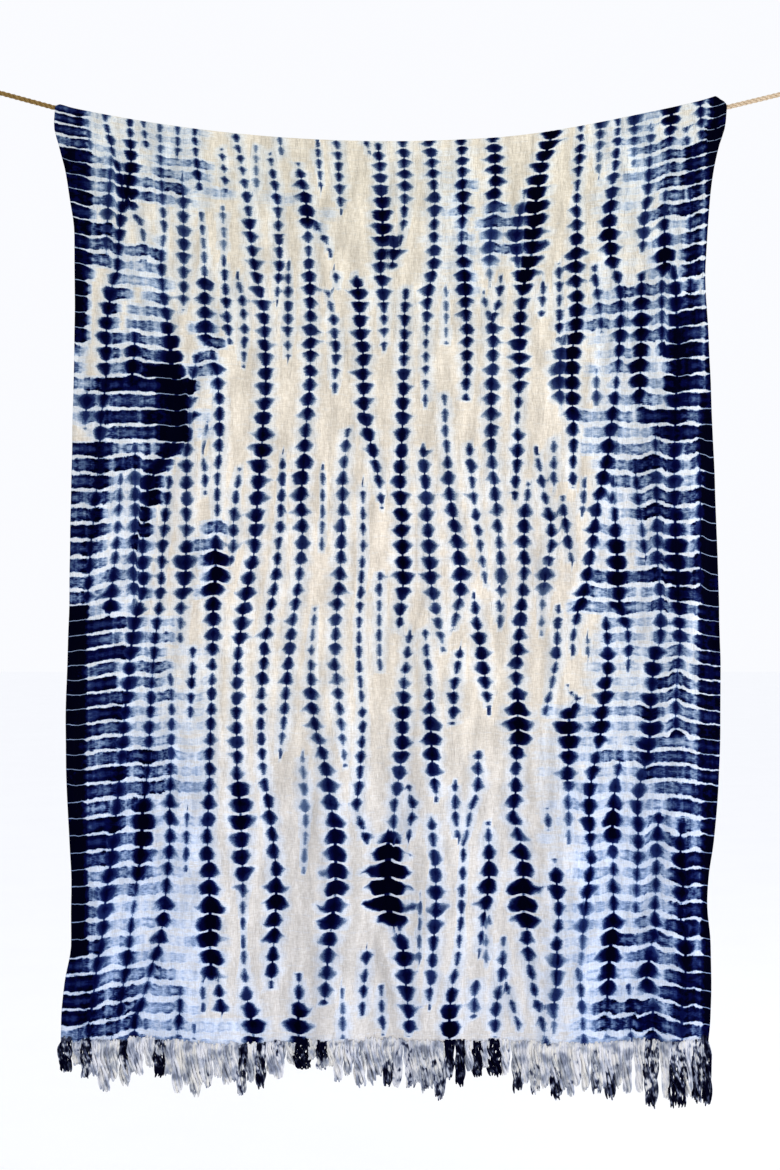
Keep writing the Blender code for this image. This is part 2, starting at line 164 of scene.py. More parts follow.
# Dyed lines, read from the top down. Each three numbers are a point of the line's
# # middle, x and y, and half its width there, in pixels.
DARK_LINES = [
    (84, 112, 2.5, 88, 125, 3, 91, 150, 3),
    (105, 116, 3, 113, 153, 4, 121, 176, 6, 124, 203, 7, 121, 216, 5, 118, 271, 6, 113, 284, 7, 107,
     326, 8, 107, 386, 7, 102, 416, 6, 101, 447, 6, 97, 500, 7, 92, 545, 6, 88, 603, 6),
    (129, 200, 5, 134, 211, 4, 143, 229, 4, 146, 257, 3),
    (130, 121, 3, 131, 145, 5, 132, 165, 8, 129, 185, 11, 127, 203, 10),
    (144, 127, 2.5, 147, 147, 3),
    (160, 127, 3, 162, 182, 4.5, 163, 206, 3, 165, 232, 3, 161, 262, 5, 164, 300, 6, 168, 326, 8, 171,
     350, 12, 171, 362, 15, 176, 385, 19, 178, 425, 18, 176, 442, 15, 165, 456, 13, 156, 470, 11, 148,
     485, 9, 144, 520, 7, 142, 560, 7, 144, 590, 7, 136, 615, 7.5, 132, 640, 8, 126, 700, 8, 120, 775,
     8, 118, 800, 7, 113, 850, 8, 106, 900, 8, 104, 930, 6.5, 98, 965, 7, 92, 1014, 8),
    (135, 335, 4, 135, 352, 9, 133, 369, 9, 131, 384, 7),
    (178, 134, 2.5, 178, 152, 3),
    (195, 134, 3, 197, 165, 3.5, 200, 187, 6),
    (222, 150, 2, 226, 187, 3),
    (201, 211, 1.8, 204, 245, 2.2, 205, 270, 3, 205, 285, 8, 205, 300, 8, 206, 340, 8),
    (224, 262, 2, 226, 300, 4.5, 228, 325, 5, 230, 340, 2.5),
    (238, 278, 2, 242, 296, 4.5, 245, 328, 3.5, 244, 365, 2),
    (198, 356, 5, 194, 372, 5, 190, 392, 5, 190, 435, 4.5, 187, 455, 7, 187, 500, 5, 187, 535, 6, 187,
     555, 10, 186, 582, 9, 182, 600, 6, 181, 625, 4, 181, 645, 3),
    (212, 356, 6, 217, 368, 6, 220, 405, 5, 220, 452, 5, 218, 475, 3, 218, 520, 2, 216, 540, 6, 216,
     555, 12, 216, 583, 12, 214, 600, 8, 214, 626, 7, 213, 672, 4, 211, 734, 5, 210, 783, 6, 208, 837,
     6, 210, 865, 8, 210, 890, 8, 211, 908, 11, 211, 945, 12, 212, 975, 8),
    (204, 986, 3, 204, 1005, 2.5),
    (219, 985, 5, 222, 1010, 5),
    (204, 455, 2, 206, 480, 4, 206, 492, 2.5),
    (121, 470, 2, 120, 500, 3.5, 116, 555, 5, 113, 585, 7, 110, 610, 10),
    (170, 476, 4, 166, 510, 5, 163, 545, 5, 161, 580, 4, 160, 600, 5, 155, 643, 4.5, 151, 690, 4.5, 148,
     766, 5, 145, 792, 6, 142, 812, 10, 141, 855, 13, 138, 872, 9, 136, 888, 3.5, 131, 925, 4, 128, 955,
     6, 119, 1014, 6),
    (170, 666, 3, 172, 700, 3, 172, 750, 4, 170, 800, 7, 170, 850, 6, 166, 893, 6, 165, 910, 9, 160,
     942, 8, 151, 968, 5, 147, 985, 4, 138, 1013, 7),
    (194, 648, 3, 193, 675, 5, 192, 690, 4, 191, 718, 2.5),
    (188, 811, 2.5, 187, 845, 3, 187, 870, 1.5),
    (240, 470, 3, 236, 500, 3, 234, 516, 5, 234, 545, 5, 232, 560, 3),
    (213, 555, 3, 216, 575, 4),
    (236, 137, 4, 240, 155, 3, 244, 180, 3.5, 249, 215, 5.5, 252, 250, 6, 255, 270, 6, 264, 311, 6, 266,
     355, 6.5, 266, 390, 7, 263, 428, 8, 262, 450, 9, 259, 480, 7.5, 254, 555, 6, 247, 590, 7, 243, 615,
     7, 239, 645, 6, 237, 670, 5, 237, 700, 5, 237, 735, 6, 237, 772, 5, 239, 790, 9, 241, 815, 11, 242,
     845, 10, 243, 872, 8, 243, 892, 4, 243, 930, 2, 244, 960, 2.5, 247, 995, 5, 250, 1010, 8, 252,
     1026, 11, 254, 1041, 10),
    (280, 143, 2, 282, 154, 1.5),
    (270, 156, 2, 274, 180, 3.5, 278, 204, 5, 279, 235, 4, 280, 262, 5, 278, 285, 3.5, 277, 300, 2),
    (298, 165, 3, 301, 178, 5, 304, 192, 7, 307, 207, 8, 308, 219, 9, 308, 235, 4, 309, 250, 3, 309,
     262, 5, 310, 275, 7, 310, 290, 8, 310, 305, 5.5, 311, 340, 7, 310, 384, 6, 306, 431, 6, 304, 459,
     8.5, 301, 500, 7, 303, 541, 5.5, 298, 588, 5, 291, 633, 5, 287, 676, 5.5, 284, 719, 5, 280, 752,
     2),
    (317, 228, 4, 322, 233, 3, 331, 255, 1),
    (335, 272, 2.5, 337, 285, 2.5),
    (289, 268, 2.5, 288, 300, 4.5, 288, 335, 4, 288, 358, 2),
    (283, 456, 2.5, 280, 535, 3.5, 275, 583, 5, 265, 640, 5, 262, 683, 5, 261, 732, 3.5, 264, 780, 4,
     270, 815, 6, 276, 869, 6, 276, 902, 9, 274, 938, 8, 271, 985, 5),
    (328, 294, 2.5, 331, 308, 2.5, 334, 322, 4.5, 336, 350, 4.5, 335, 390, 2.5),
    (348, 431, 4, 343, 477, 5, 341, 557, 5.5, 339, 587, 8, 336, 620, 5, 335, 660, 5.5, 339, 702, 5, 345,
     764, 2),
    (356, 276, 3, 358, 288, 7.5, 359, 302, 7.5, 360, 330, 6.5, 363, 350, 6.5, 363, 370, 7, 364, 415, 7,
     371, 445, 6, 378, 475, 5, 382, 506, 2.5),
    (380, 575, 4, 379, 631, 2.5, 380, 671, 2),
    (363, 486, 2.5, 363, 549, 2.5, 359, 622, 2.5, 359, 665, 1.8, 363, 720, 3, 360, 773, 4.5, 356, 808,
     4, 367, 841, 5),
    (388, 835, 6, 388, 852, 20, 388, 880, 23, 388, 908, 22, 394, 925, 11),
    (335, 141, 3, 338, 152, 4, 339, 175, 4.5, 340, 198, 4.5, 341, 212, 1.5),
    (318, 150, 1.5, 321, 189, 1.5),
    (378, 144, 3, 379, 155, 5.5, 380, 175, 6, 381, 190, 6, 382, 205, 8, 383, 228, 9, 382, 255, 7, 380,
     268, 7, 383, 294, 6, 384, 310, 4, 384, 335, 3, 384, 347, 2.5),
    (365, 143, 2, 369, 151, 2),
    (393, 239, 6, 394, 252, 7, 392, 266, 4.5),
    (402, 145, 5, 404, 158, 6, 405, 189, 6, 404, 215, 4.5, 403, 228, 3, 401, 241, 2.5),
    (406, 288, 4, 405, 303, 5, 404, 354, 5, 403, 414, 6, 400, 480, 6, 401, 500, 8, 403, 573, 8, 403,
     587, 7, 399, 628, 3),
    (430, 144, 6, 432, 165, 5.5, 435, 200, 5.5, 434, 225, 4.5, 434, 262, 6, 431, 280, 5, 428, 293, 6.5,
     427, 308, 4.5, 426, 345, 3.5, 425, 404, 2),
    (423, 450, 5.5, 429, 546, 6.5, 430, 576, 7.5, 434, 604, 5, 443, 648, 2),
    (425, 630, 2.5, 430, 700, 5, 431, 732, 8, 432, 763, 7, 436, 795, 3),
    (431, 816, 4, 435, 864, 5, 436, 899, 7.5, 433, 947, 5, 429, 1002, 4),
    (461, 141, 5, 462, 165, 5, 463, 205, 7, 462, 230, 3, 461, 247, 5, 463, 262, 7, 465, 285, 7.5, 466,
     314, 6, 467, 356, 5.5, 466, 400, 3.5),
    (469, 446, 4, 473, 493, 5, 479, 539, 3.5, 486, 586, 2),
    (444, 394, 2, 446, 442, 3.5, 449, 489, 6, 456, 538, 6.5, 461, 572, 8, 460, 596, 6, 453, 627, 3.5),
    (460, 650, 3, 453, 690, 5, 453, 722, 4),
    (455, 784, 3, 455, 815, 4, 458, 837, 1.8),
    (463, 846, 2, 462, 885, 3.5, 461, 915, 2, 458, 955, 2, 453, 978, 3, 449, 1010, 8, 449, 1036, 9),
    (488, 826, 3, 489, 845, 5.5, 489, 862, 6.5, 489, 880, 8.5, 487, 898, 8, 484, 915, 6, 482, 932, 4,
     479, 952, 2),
    (410, 636, 3, 404, 680, 5, 403, 707, 8, 402, 757, 8, 397, 790, 4.5, 395, 804, 4.5, 393, 841, 5),
    (409, 790, 4.5, 413, 804, 5, 409, 838, 2),
    (400, 932, 5, 404, 955, 9, 406, 985, 7, 408, 1005, 6, 409, 1030, 6),
    (315, 610, 2, 311, 655, 2.5, 311, 697, 7, 316, 729, 6, 325, 761, 6, 330, 794, 7, 335, 829, 9, 336,
     865, 11, 336, 890, 13, 333, 915, 12, 329, 945, 8, 325, 1000, 5.5),
    (299, 975, 3, 299, 998, 6, 299, 1010, 8, 298, 1025, 11, 299, 1042, 9),
    (323, 468, 2, 322, 549, 2),
    (367, 950, 4, 363, 997, 3.5, 362, 1013, 2.5),
    (381, 988, 2, 382, 1016, 3, 383, 1030, 2),
    (342, 985, 1.5, 342, 1005, 1.5),
    (492, 141, 5, 495, 150, 7, 495, 175, 8, 495, 200, 8, 493, 215, 6),
    (501, 278, 2.5, 500, 292, 4.5, 498, 305, 3.5, 494, 315, 5),
    (484, 296, 2, 486, 310, 3, 492, 321, 6, 493, 335, 7, 493, 360, 5.5, 491, 391, 7, 491, 453, 6, 496,
     501, 6, 501, 565, 5, 500, 623, 3),
    (474, 599, 3, 476, 612, 4.5, 479, 640, 6.5, 484, 668, 6.5, 487, 695, 4.5, 489, 713, 2),
    (478, 753, 4, 478, 785, 5.5, 474, 799, 3.5, 469, 816, 2.2, 466, 835, 1.8),
    (552, 134, 9, 547, 150, 9, 541, 165, 8, 539, 183, 9, 536, 196, 11, 535, 208, 12, 534, 222, 12, 533,
     236, 12, 532, 252, 12, 528, 266, 11, 525, 280, 11, 522, 294, 6, 520, 321, 6, 520, 335, 7, 519, 350,
     8, 519, 380, 6, 517, 420, 3, 518, 445, 6, 516, 475, 4, 515, 495, 4),
    (528, 485, 2, 527, 500, 3.5, 524, 510, 6, 524, 545, 6.5, 524, 575, 5, 522, 597, 5.5, 519, 640, 6.5,
     516, 671, 6, 517, 688, 5, 518, 702, 9, 518, 715, 13, 518, 733, 11, 517, 750, 8, 516, 770, 4, 516,
     790, 7, 513, 815, 7, 518, 833, 6, 522, 852, 9, 523, 870, 8, 524, 888, 14, 523, 907, 14, 527, 925,
     10, 527, 942, 6, 528, 958, 6, 533, 985, 4, 538, 1006, 4, 542, 1022, 4, 546, 1041, 4),
    (504, 938, 1.5, 503, 955, 4, 502, 975, 5, 498, 995, 4, 496, 1010, 5, 495, 1032, 5),
    (506, 985, 3, 512, 1003, 3, 519, 1028, 2.5),
    (543, 282, 1.5, 543, 295, 4.5, 541, 315, 3),
    (581, 130, 2.5, 579, 160, 5, 577, 190, 2.5, 576, 204, 4.5, 577, 228, 6, 576, 244, 7, 575, 275, 8,
     577, 292, 7, 577, 318, 7, 575, 336, 10, 572, 350, 9, 571, 392, 8, 572, 408, 8, 573, 425, 6, 573,
     440, 4.5, 572, 484, 3.5),
    (558, 265, 3.5, 559, 280, 4, 559, 295, 2.5, 559, 333, 5),
    (553, 440, 3.5, 553, 484, 2.5),
    (536, 450, 1.5, 541, 480, 3, 545, 500, 4, 550, 520, 5.5, 551, 545, 5, 546, 566, 4, 544, 582, 3),
    (562, 501, 3, 564, 516, 6, 566, 533, 4, 568, 547, 5, 571, 562, 3),
    (584, 480, 1.5, 583, 500, 3.5, 581, 514, 2),
    (618, 122, 2.5, 617, 145, 4, 614, 172, 4, 611, 199, 6, 609, 224, 8, 609, 240, 10, 610, 256, 8, 615,
     272, 5, 620, 290, 4.5, 621, 313, 6, 619, 340, 6.5, 618, 362, 5, 616, 385, 3, 614, 400, 6.5, 612,
     418, 7, 610, 434, 6.5, 609, 450, 9, 605, 468, 7.5, 601, 486, 7.5, 597, 502, 6, 595, 520, 6, 592,
     535, 6.5, 590, 555, 5, 588, 568, 7, 586, 582, 8, 583, 597, 8, 577, 611, 7, 574, 625, 4, 572, 640,
     3, 572, 654, 1.5),
    (558, 608, 3, 557, 622, 3.5, 556, 642, 5, 556, 658, 5, 552, 680, 2, 546, 705, 3, 544, 715, 2.5),
    (567, 690, 3, 578, 694, 4, 573, 707, 6),
    (569, 707, 6, 568, 717, 11, 568, 735, 10, 568, 750, 9, 567, 765, 7, 566, 778, 9),
    (547, 808, 3.5, 548, 825, 3),
    (554, 858, 2.5, 556, 878, 8, 557, 895, 6, 558, 915, 5.5, 556, 935, 4, 557, 950, 7, 556, 968, 6, 555,
     983, 5),
    (594, 268, 3, 596, 288, 4.5, 600, 312, 4.5, 601, 330, 5),
    (651, 129, 4, 649, 165, 5, 648, 195, 6, 645, 208, 6, 643, 235, 6, 642, 250, 5),
    (671, 112, 7, 671, 118, 11, 670, 130, 6, 669, 150, 4.5, 666, 180, 2.5, 664, 205, 4, 664, 228, 6,
     664, 243, 8, 664, 260, 11, 664, 268, 9, 662, 276, 3, 661, 292, 4, 661, 350, 5),
    (673, 272, 6, 675, 290, 8, 676, 320, 9, 678, 348, 13, 676, 370, 9, 675, 400, 9, 673, 450, 8, 673,
     500, 7, 674, 530, 10, 676, 560, 13, 677, 600, 12, 678, 615, 9, 679, 640, 7, 677, 660, 4.5, 675,
     690, 4.5, 674, 712, 6, 675, 735, 5),
    (641, 275, 5, 641, 300, 8, 641, 330, 8, 640, 360, 9, 640, 383, 11, 639, 405, 5),
    (635, 460, 4.5, 636, 478, 5.5, 638, 500, 5, 641, 520, 3.5, 645, 555, 5),
    (655, 430, 4, 655, 460, 6, 656, 500, 6, 657, 560, 6, 660, 600, 5, 660, 640, 7, 654, 655, 9, 652,
     680, 8, 650, 715, 9, 649, 745, 11, 647, 760, 8, 642, 775, 6, 640, 787, 6, 637, 805, 6, 638, 820, 7,
     638, 855, 7, 637, 880, 4, 636, 912, 3.5),
    (613, 478, 2.5, 613, 500, 4, 615, 518, 5, 616, 537, 8, 617, 556, 10, 618, 590, 10, 621, 612, 8, 627,
     626, 6, 629, 640, 5, 629, 655, 4, 628, 672, 1.5),
    (699, 440, 5, 700, 500, 6, 700, 590, 7),
    (606, 616, 2.5, 606, 630, 5, 607, 645, 5, 608, 660, 7, 607, 675, 6, 605, 690, 8, 603, 704, 8, 601,
     720, 8, 600, 735, 8, 597, 750, 4, 593, 768, 6, 590, 785, 6, 588, 800, 7, 588, 820, 7, 590, 850, 5,
     590, 868, 5, 587, 888, 7, 585, 905, 6),
    (620, 761, 4, 616, 780, 5, 614, 797, 6, 613, 812, 9, 612, 831, 10, 613, 850, 5, 613, 870, 5, 613,
     888, 6, 614, 905, 6, 613, 923, 10, 611, 940, 11, 609, 957, 12, 609, 972, 8, 607, 988, 9, 607, 1005,
     6),
    (658, 815, 7, 657, 838, 7, 656, 860, 5, 655, 895, 4, 654, 915, 6, 655, 928, 8, 651, 945, 6, 648,
     962, 9, 646, 978, 10, 649, 992, 9),
    (681, 822, 5, 678, 840, 7, 680, 862, 9, 682, 880, 8, 680, 900, 8, 679, 916, 7, 684, 935, 8, 684,
     952, 9, 684, 985, 7, 682, 1005, 5),
    (628, 985, 2, 630, 1000, 3.5, 631, 1038, 4),
    (577, 968, 2, 580, 985, 4, 581, 1005, 4, 583, 1040, 4),
    (686, 130, 3, 690, 200, 4, 690, 300, 4),
    (700, 104, 5, 700, 118, 7, 701, 128, 4, 702, 140, 5),
    (718, 98, 5, 718, 110, 5, 716, 122, 8, 714, 140, 8),
    (181, 990, 2, 181, 999, 5, 180, 1016, 6, 178, 1033, 3),
    (195, 1026, 1.5, 195, 1036, 4),
    (90, 1010, 5, 91, 1044, 6),
    (112, 1015, 3, 112, 1044, 4),
    (135, 1012, 6, 134, 1044, 5),
]
BLUE_LINES = [
    (495, 200, 8, 493, 215, 9, 490, 235, 9, 490, 255, 9, 489, 268, 5, 490, 280, 2),
    (524, 198, 4, 519, 218, 8, 516, 236, 9, 516, 252, 9, 518, 268, 5),
    (565, 338, 6, 560, 352, 9, 559, 392, 8, 561, 405, 5),
    (182, 180, 4, 184, 205, 7, 184, 225, 6, 184, 249, 7, 184, 262, 6, 184, 290, 6, 184, 310, 3.5),
    (112, 150, 4, 110, 190, 6, 108, 215, 7, 107, 250, 7),
    (303, 757, 2.5, 304, 780, 4, 305, 803, 5, 306, 821, 3, 304, 872, 2),
    (568, 785, 7, 567, 800, 5, 568, 815, 5, 568, 840, 1.5),
    (584, 905, 7, 583, 923, 8, 582, 935, 4, 580, 971, 1.5),
    (616, 125, 8, 600, 126, 7, 599, 150, 3.5, 598, 165, 2.5, 598, 176, 1),
    (634, 122, 8, 634, 135, 6, 634, 150, 4, 633, 163, 3),
    (596, 372, 3, 596, 388, 5, 596, 402, 6),
    (501, 575, 6, 501, 600, 3, 500, 625, 2),
    (546, 565, 8, 544, 580, 8, 542, 600, 3, 541, 630, 2.5),
    (616, 490, 3, 613, 505, 3),
    (476, 980, 6, 474, 1000, 5, 474, 1015, 6),
    (556, 950, 9, 556, 975, 7, 553, 1008, 7),
    (135, 448, 6, 135, 520, 6, 133, 560, 6, 134, 600, 6),
    (88, 395, 12, 87, 405, 10, 87, 415, 6, 86, 428, 4),
    (256, 148, 1.5, 257, 187, 3),
    (446, 290, 2, 446, 342, 3),
    (223, 213, 4, 224, 230, 1.5, 224, 252, 3),
    (587, 639, 2, 587, 656, 2),
    (208, 425, 3, 205, 440, 4),
    (486, 895, 2, 486, 960, 2.5),
    (343, 1003, 1.5, 343, 1020, 5, 343, 1036, 3),
    (554, 1004, 3, 554, 1014, 6, 553, 1030, 2),
    (606, 1003, 5, 606, 1032, 4),
    (653, 1003, 8, 652, 1044, 9),
    (680, 1003, 9, 681, 1044, 10),
    (420, 900, 2, 419, 960, 2),
]
BLUE_INK = 0.74
LINE_INK = (0.92, 0.26)  # the palest line's ink, and how much more the darkest has
GOLDEN_RATIO = 0.618
LINE_TAPER = 7.0  # pixels past its ends in which a line runs out
LINE_TIP = 0.3  # half its width there
LINE_SHARE = (0.70, 0.27)  # of a thin line's width, and how much more of a wide one's
LINE_WIDE = (2, 10)
NO_LINE = -1e9
NO_LINE_HALF = 4.0
FAR_OFF = 40.0  # pixels, the most that counts as a distance from a line
TIE_LIFT = 0.15  # by which the ties rise at one line and dip at the next
TIE_LIFT_WIDTH = 8.0
TIE_LIFT_HALF = 4  # half the width of a line that lifts the ties in full
RIGHT_LIFT_X = (610, 640)  # from here on they bend the other way round, and more
RIGHT_LIFT_Y = (600, 680)
RIGHT_LIFT = -1.7

# Where the dye spread between the lines: a soft box in pixels, and how much of it there is.
# # The boxes that run out past the side edges (x0 of 40, or x1 of 760) are dye and also painted
# # shade of the edges that turn back, the heaviest of them near black.
SPREADS = table("x0 x1 y0 y1 amount", [
    (40, 88, 90, 150, 0.95), (40, 93, 150, 275, 1.65), (40, 87, 270, 350, 2.2),
    (40, 84, 350, 396, 0.95), (60, 102, 388, 406, 0.55), (60, 100, 406, 430, 0.45),
    (60, 112, 440, 456, 0.95), (60, 96, 456, 500, 0.95), (60, 92, 500, 604, 0.95),
    (92, 113, 442, 500, 1.02), (88, 107, 500, 565, 0.98), (88, 126, 562, 606, 0.6),
    (192, 214, 526, 592, 0.85), (147, 190, 368, 448, 2.2),
    (150, 176, 448, 466, 1.8), (138, 150, 440, 462, 1.3), (138, 158, 462, 505, 1.5),
    (136, 152, 505, 545, 1.3), (40, 88, 608, 960, 2.6), (84, 126, 616, 800, 1.12),
    (84, 114, 800, 870, 1.08), (80, 104, 870, 960, 0.62), (40, 96, 962, 1022, 1.12),
    (40, 88, 1022, 1045, 0.55), (84, 134, 104, 160, 0.07), (95, 116, 150, 205, 0.6),
    (88, 116, 225, 272, 0.88), (118, 160, 240, 284, 0.5), (110, 128, 284, 372, 0.8),
    (140, 168, 284, 372, 0.66), (126, 140, 326, 345, 0.6), (84, 182, 379, 393, 1.08),
    (104, 150, 393, 446, 0.92), (112, 150, 446, 470, 0.95), (126, 150, 470, 604, 0.45),
    (140, 212, 158, 172, 0.42), (128, 166, 172, 187, 0.62), (166, 210, 172, 187, 0.32),
    (140, 186, 186, 200, 0.78), (182, 238, 190, 204, 0.42), (236, 300, 196, 206, 0.16),
    (192, 218, 316, 384, 0.8), (196, 218, 392, 400, 0.25), (196, 222, 410, 440, 0.28),
    (134, 170, 622, 700, 0.56), (134, 172, 700, 742, 0.42), (128, 172, 742, 800, 0.84),
    (170, 212, 640, 700, 0.15), (170, 206, 748, 790, 0.34),
    (112, 160, 800, 905, 0.7), (96, 170, 955, 985, 0.62), (88, 138, 985, 1022, 0.92),
    (70, 150, 1008, 1045, 0.72), (138, 190, 985, 1045, 0.44), (186, 262, 1008, 1045, 0.22),
    (196, 216, 930, 960, 0.45), (312, 330, 204, 240, 0.22),
    (442, 466, 175, 215, 0.34), (455, 470, 215, 300, 0.4), (478, 505, 200, 262, 0.55),
    (505, 530, 235, 262, 0.3), (425, 470, 150, 300, 0.14), (625, 652, 110, 190, 0.46),
    (652, 682, 140, 200, 0.78), (652, 682, 200, 225, 0.62), (652, 690, 225, 250, 0.5),
    (600, 640, 180, 215, 0.22), (640, 676, 250, 290, 0.42), (682, 706, 142, 195, 1.05),
    (682, 706, 195, 222, 1.05), (682, 706, 222, 240, 0.9), (682, 706, 240, 284, 0.98),
    (680, 706, 284, 330, 1.3), (628, 706, 286, 300, 0.6), (575, 706, 300, 312, 0.52),
    (575, 706, 312, 330, 0.48), (664, 706, 326, 362, 1.3), (628, 652, 330, 372, 0.62),
    (588, 612, 335, 348, 0.3), (615, 650, 350, 374, 0.58), (624, 656, 382, 405, 0.55),
    (664, 706, 362, 405, 1.25), (578, 640, 412, 424, 0.62), (640, 705, 408, 424, 1),
    (575, 655, 424, 452, 0.45), (655, 706, 424, 452, 1.02), (612, 640, 405, 490, 0.58),
    (640, 706, 452, 480, 0.84), (640, 706, 480, 545, 0.76), (628, 705, 545, 572, 0.82),
    (592, 705, 572, 590, 0.98), (560, 592, 578, 584, 0.25), (580, 640, 588, 618, 0.55),
    (640, 706, 590, 620, 0.85), (655, 692, 620, 668, 0.58), (655, 698, 668, 700, 0.9),
    (618, 645, 690, 706, 0.45), (592, 700, 710, 724, 0.92), (540, 592, 710, 716, 0.35),
    (592, 618, 724, 740, 0.78), (620, 655, 724, 742, 0.66), (655, 700, 724, 742, 0.9),
    (600, 700, 744, 760, 0.88), (650, 701, 764, 800, 0.92), (664, 704, 800, 850, 0.9),
    (620, 664, 850, 912, 0.46), (664, 704, 850, 930, 1.02),
    (560, 600, 905, 960, 0.25), (625, 696, 918, 965, 0.76), (664, 704, 960, 1045, 1.15),
    (590, 632, 1003, 1030, 0.8), (632, 668, 1003, 1040, 1.05),
    (560, 640, 1008, 1045, 0.34), (696, 760, 600, 800, 1.7), (701, 760, 800, 1060, 2.1),
    (709, 760, 90, 124, 1.5), (652, 706, 100, 142, 0.1), (706, 760, 124, 400, 2.4),
    (698, 760, 396, 478, 2.4), (701, 760, 478, 602, 2.4), (470, 560, 1030, 1045, 0.08),
    (225, 350, 1032, 1045, 0.1), (60, 150, 604, 1045, 0.36), (150, 212, 690, 1045, 0.2),
    (84, 150, 380, 604, 0.22), (592, 706, 290, 560, 0.26), (655, 706, 290, 604, 0.5),
    (590, 706, 560, 700, 0.26), (575, 706, 700, 1045, 0.27), (540, 590, 720, 1045, 0.14),
    (640, 706, 700, 1045, 0.46), (590, 706, 110, 290, 0.13), (84, 200, 110, 210, 0.18),
])
SPREAD_SOFTNESS = (8.0, 4.0)  # pixels across and down
SPREAD_REACH = 7.0  # pixels by which its ends differ from row to row
SPREAD_CHANGE = 0.22  # and its amount
SPREAD_WAVES = (23, 17)  # pixels over which these two rise and fall
SPREAD_KEPT_LEFT = (96, 130)  # outside these places its ends stay where they are
SPREAD_KEPT_RIGHT = (672, 698)
SPREAD_ROWS = 97  # rows of ties before its chances repeat
SPREAD_SEED = 3
DYE_MARGIN = 5  # pixels below the top, from where the dye on the arch is read

# Fringe: the main locks, left to right, in pixels, and how dark each is at its top and tip.
LOCKS = table("x tip width top_ink tip_ink", [
    (66, 1072, 14, 0.75, 0.85), (88, 1076, 11, 0.8, 0.6), (105, 1092, 12, 0.25, 0.05),
    (125, 1087, 11, 0.8, 0.25), (138, 1076, 9, 0.15, 0.15), (160, 1078, 12, 0.7, 0.95),
    (178, 1092, 10, 0.1, 0.2), (196, 1096, 12, 0.15, 0.1), (209, 1086, 7, 0.1, 0.35),
    (227, 1084, 9, 0.08, 0.08), (243, 1094, 10, 0.75, 0.5), (261, 1089, 10, 0.7, 0.8),
    (279, 1080, 11, 0.55, 0.05), (303, 1069, 18, 1, 1), (323, 1068, 11, 1, 0.45),
    (339, 1080, 9, 0.25, 0.15), (359, 1087, 12, 0.12, 0.25), (371, 1086, 9, 0.1, 0.22),
    (388, 1088, 10, 0.15, 0.85), (398, 1089, 8, 0.3, 0.35), (410, 1088, 10, 0.35, 0.55),
    (424, 1092, 9, 0.25, 0.55), (438, 1098, 12, 0.35, 0.6), (449, 1078, 9, 1, 0.7),
    (460, 1085, 9, 0.9, 1), (477, 1077, 11, 1, 1), (493, 1077, 16, 1, 1), (517, 1094, 10, 0.06, 0.8),
    (535, 1094, 11, 0.1, 0.55), (555, 1099, 13, 0.2, 0.75), (569, 1095, 8, 0.2, 0.45),
    (584, 1090, 8, 0.08, 0.08), (595, 1093, 10, 0.3, 0.55), (610, 1101, 11, 0.25, 0.8),
    (627, 1094, 9, 0.12, 0.15), (651, 1109, 14, 0.6, 0.75), (677, 1106, 18, 0.55, 0.92),
    (697, 1104, 11, 0.65, 0.75), (707, 1108, 11, 0.8, 0.85),
])
THIN_LOCK_WIDTH = 8.0
THIN_LOCK_SHORT = 9  # pixels by which it ends above the locks beside it
THIN_LOCK_INK = 0.18
WIDEST_GAP = 12.5  # pixels between two locks that get no thin lock between them
YARN_PITCH = 0.0034
YARN_RADIUS = 0.0027
YARN_STEPS = 14
YARN_SIDES = 5
YARN_TURNS = 0.55
YARN_WAVE = 0.0006
YARN_LENGTH = (0.88, 1.0)  # as shares of its lock's
YARN_KINDS = 50
LOCK_DEPTH = 0.0055  # half of it, front to back
LOCK_SWAY = 0.003  # at its tip, to a side and front to back
LOCK_GATHERED = 0.36  # the share of its length in which its yarns come together
GOLDEN_ANGLE = 2.399963
LOCK_ROOT = (0.000, 0.008)  # how far each lock reaches up over the hem's edge
FRINGE_ROOT = (0.001, 0.007)  # and each of its yarns beyond that
FRINGE_FORWARD = 0.0014  # and how far in front of its middle they start
FRINGE_INSET = 0.002  # from the cloth's side edges
FRINGE_SEED = 11

SPECULAR = 0.015
FLOOR_Z = -2.30
FLOOR_SIZE = 60.0
KEY_PLACE = (3.9, -1.6, 1.1)
KEY_SIZE = (1.2, 1.2)
KEY_POWER = 70
CLOTH_MIDDLE = (0, 0, -0.85)


def column(rows, name):
    return [getattr(row, name) for row in rows]


def level_slopes(keys, values):
    """A slope at each row that lets no cubic overshoot the rows beside it."""
    rises = np.diff(values) / np.diff(keys)
    a, b = rises[:-1], rises[1:]
    same = a * b > 0
    inner = np.where(same, 2 * a * b / np.where(same, a + b, 1), 0)
    return np.concatenate([rises[:1], inner, rises[-1:]])


def smooth_read(rows, key, name, at):
    """A table's column read at places by a cubic through its rows, flat beyond its ends."""
    rows = sorted(rows, key=lambda row: getattr(row, key))
    keys, values = np.array(column(rows, key)), np.array(column(rows, name))
    at = np.clip(at, keys[0], keys[-1])
    i = np.clip(np.searchsorted(keys, at, side="right") - 1, 0, len(keys) - 2)
    slopes = level_slopes(keys, values)
    step = keys[i + 1] - keys[i]
    t = (at - keys[i]) / step
    return (
        (2 * t**3 - 3 * t**2 + 1) * values[i]
        + (t**3 - 2 * t**2 + t) * step * slopes[i]
        + (3 * t**2 - 2 * t**3) * values[i + 1]
        + (t**3 - t**2) * step * slopes[i + 1]
    )


def ease(start, end, at):
    """0 before start, 1 after end, and smooth between them."""
    t = np.clip((at - start) / (end - start), 0, 1)
    return t * t * (3 - 2 * t)


def photo_x(x):
    return x / PX + ORIGIN_PX[0]


def photo_y(z):
    return ORIGIN_PX[1] - z / PX


def from_photo(x, y):
    return (x - ORIGIN_PX[0]) * PX, (ORIGIN_PX[1] - y) * PX


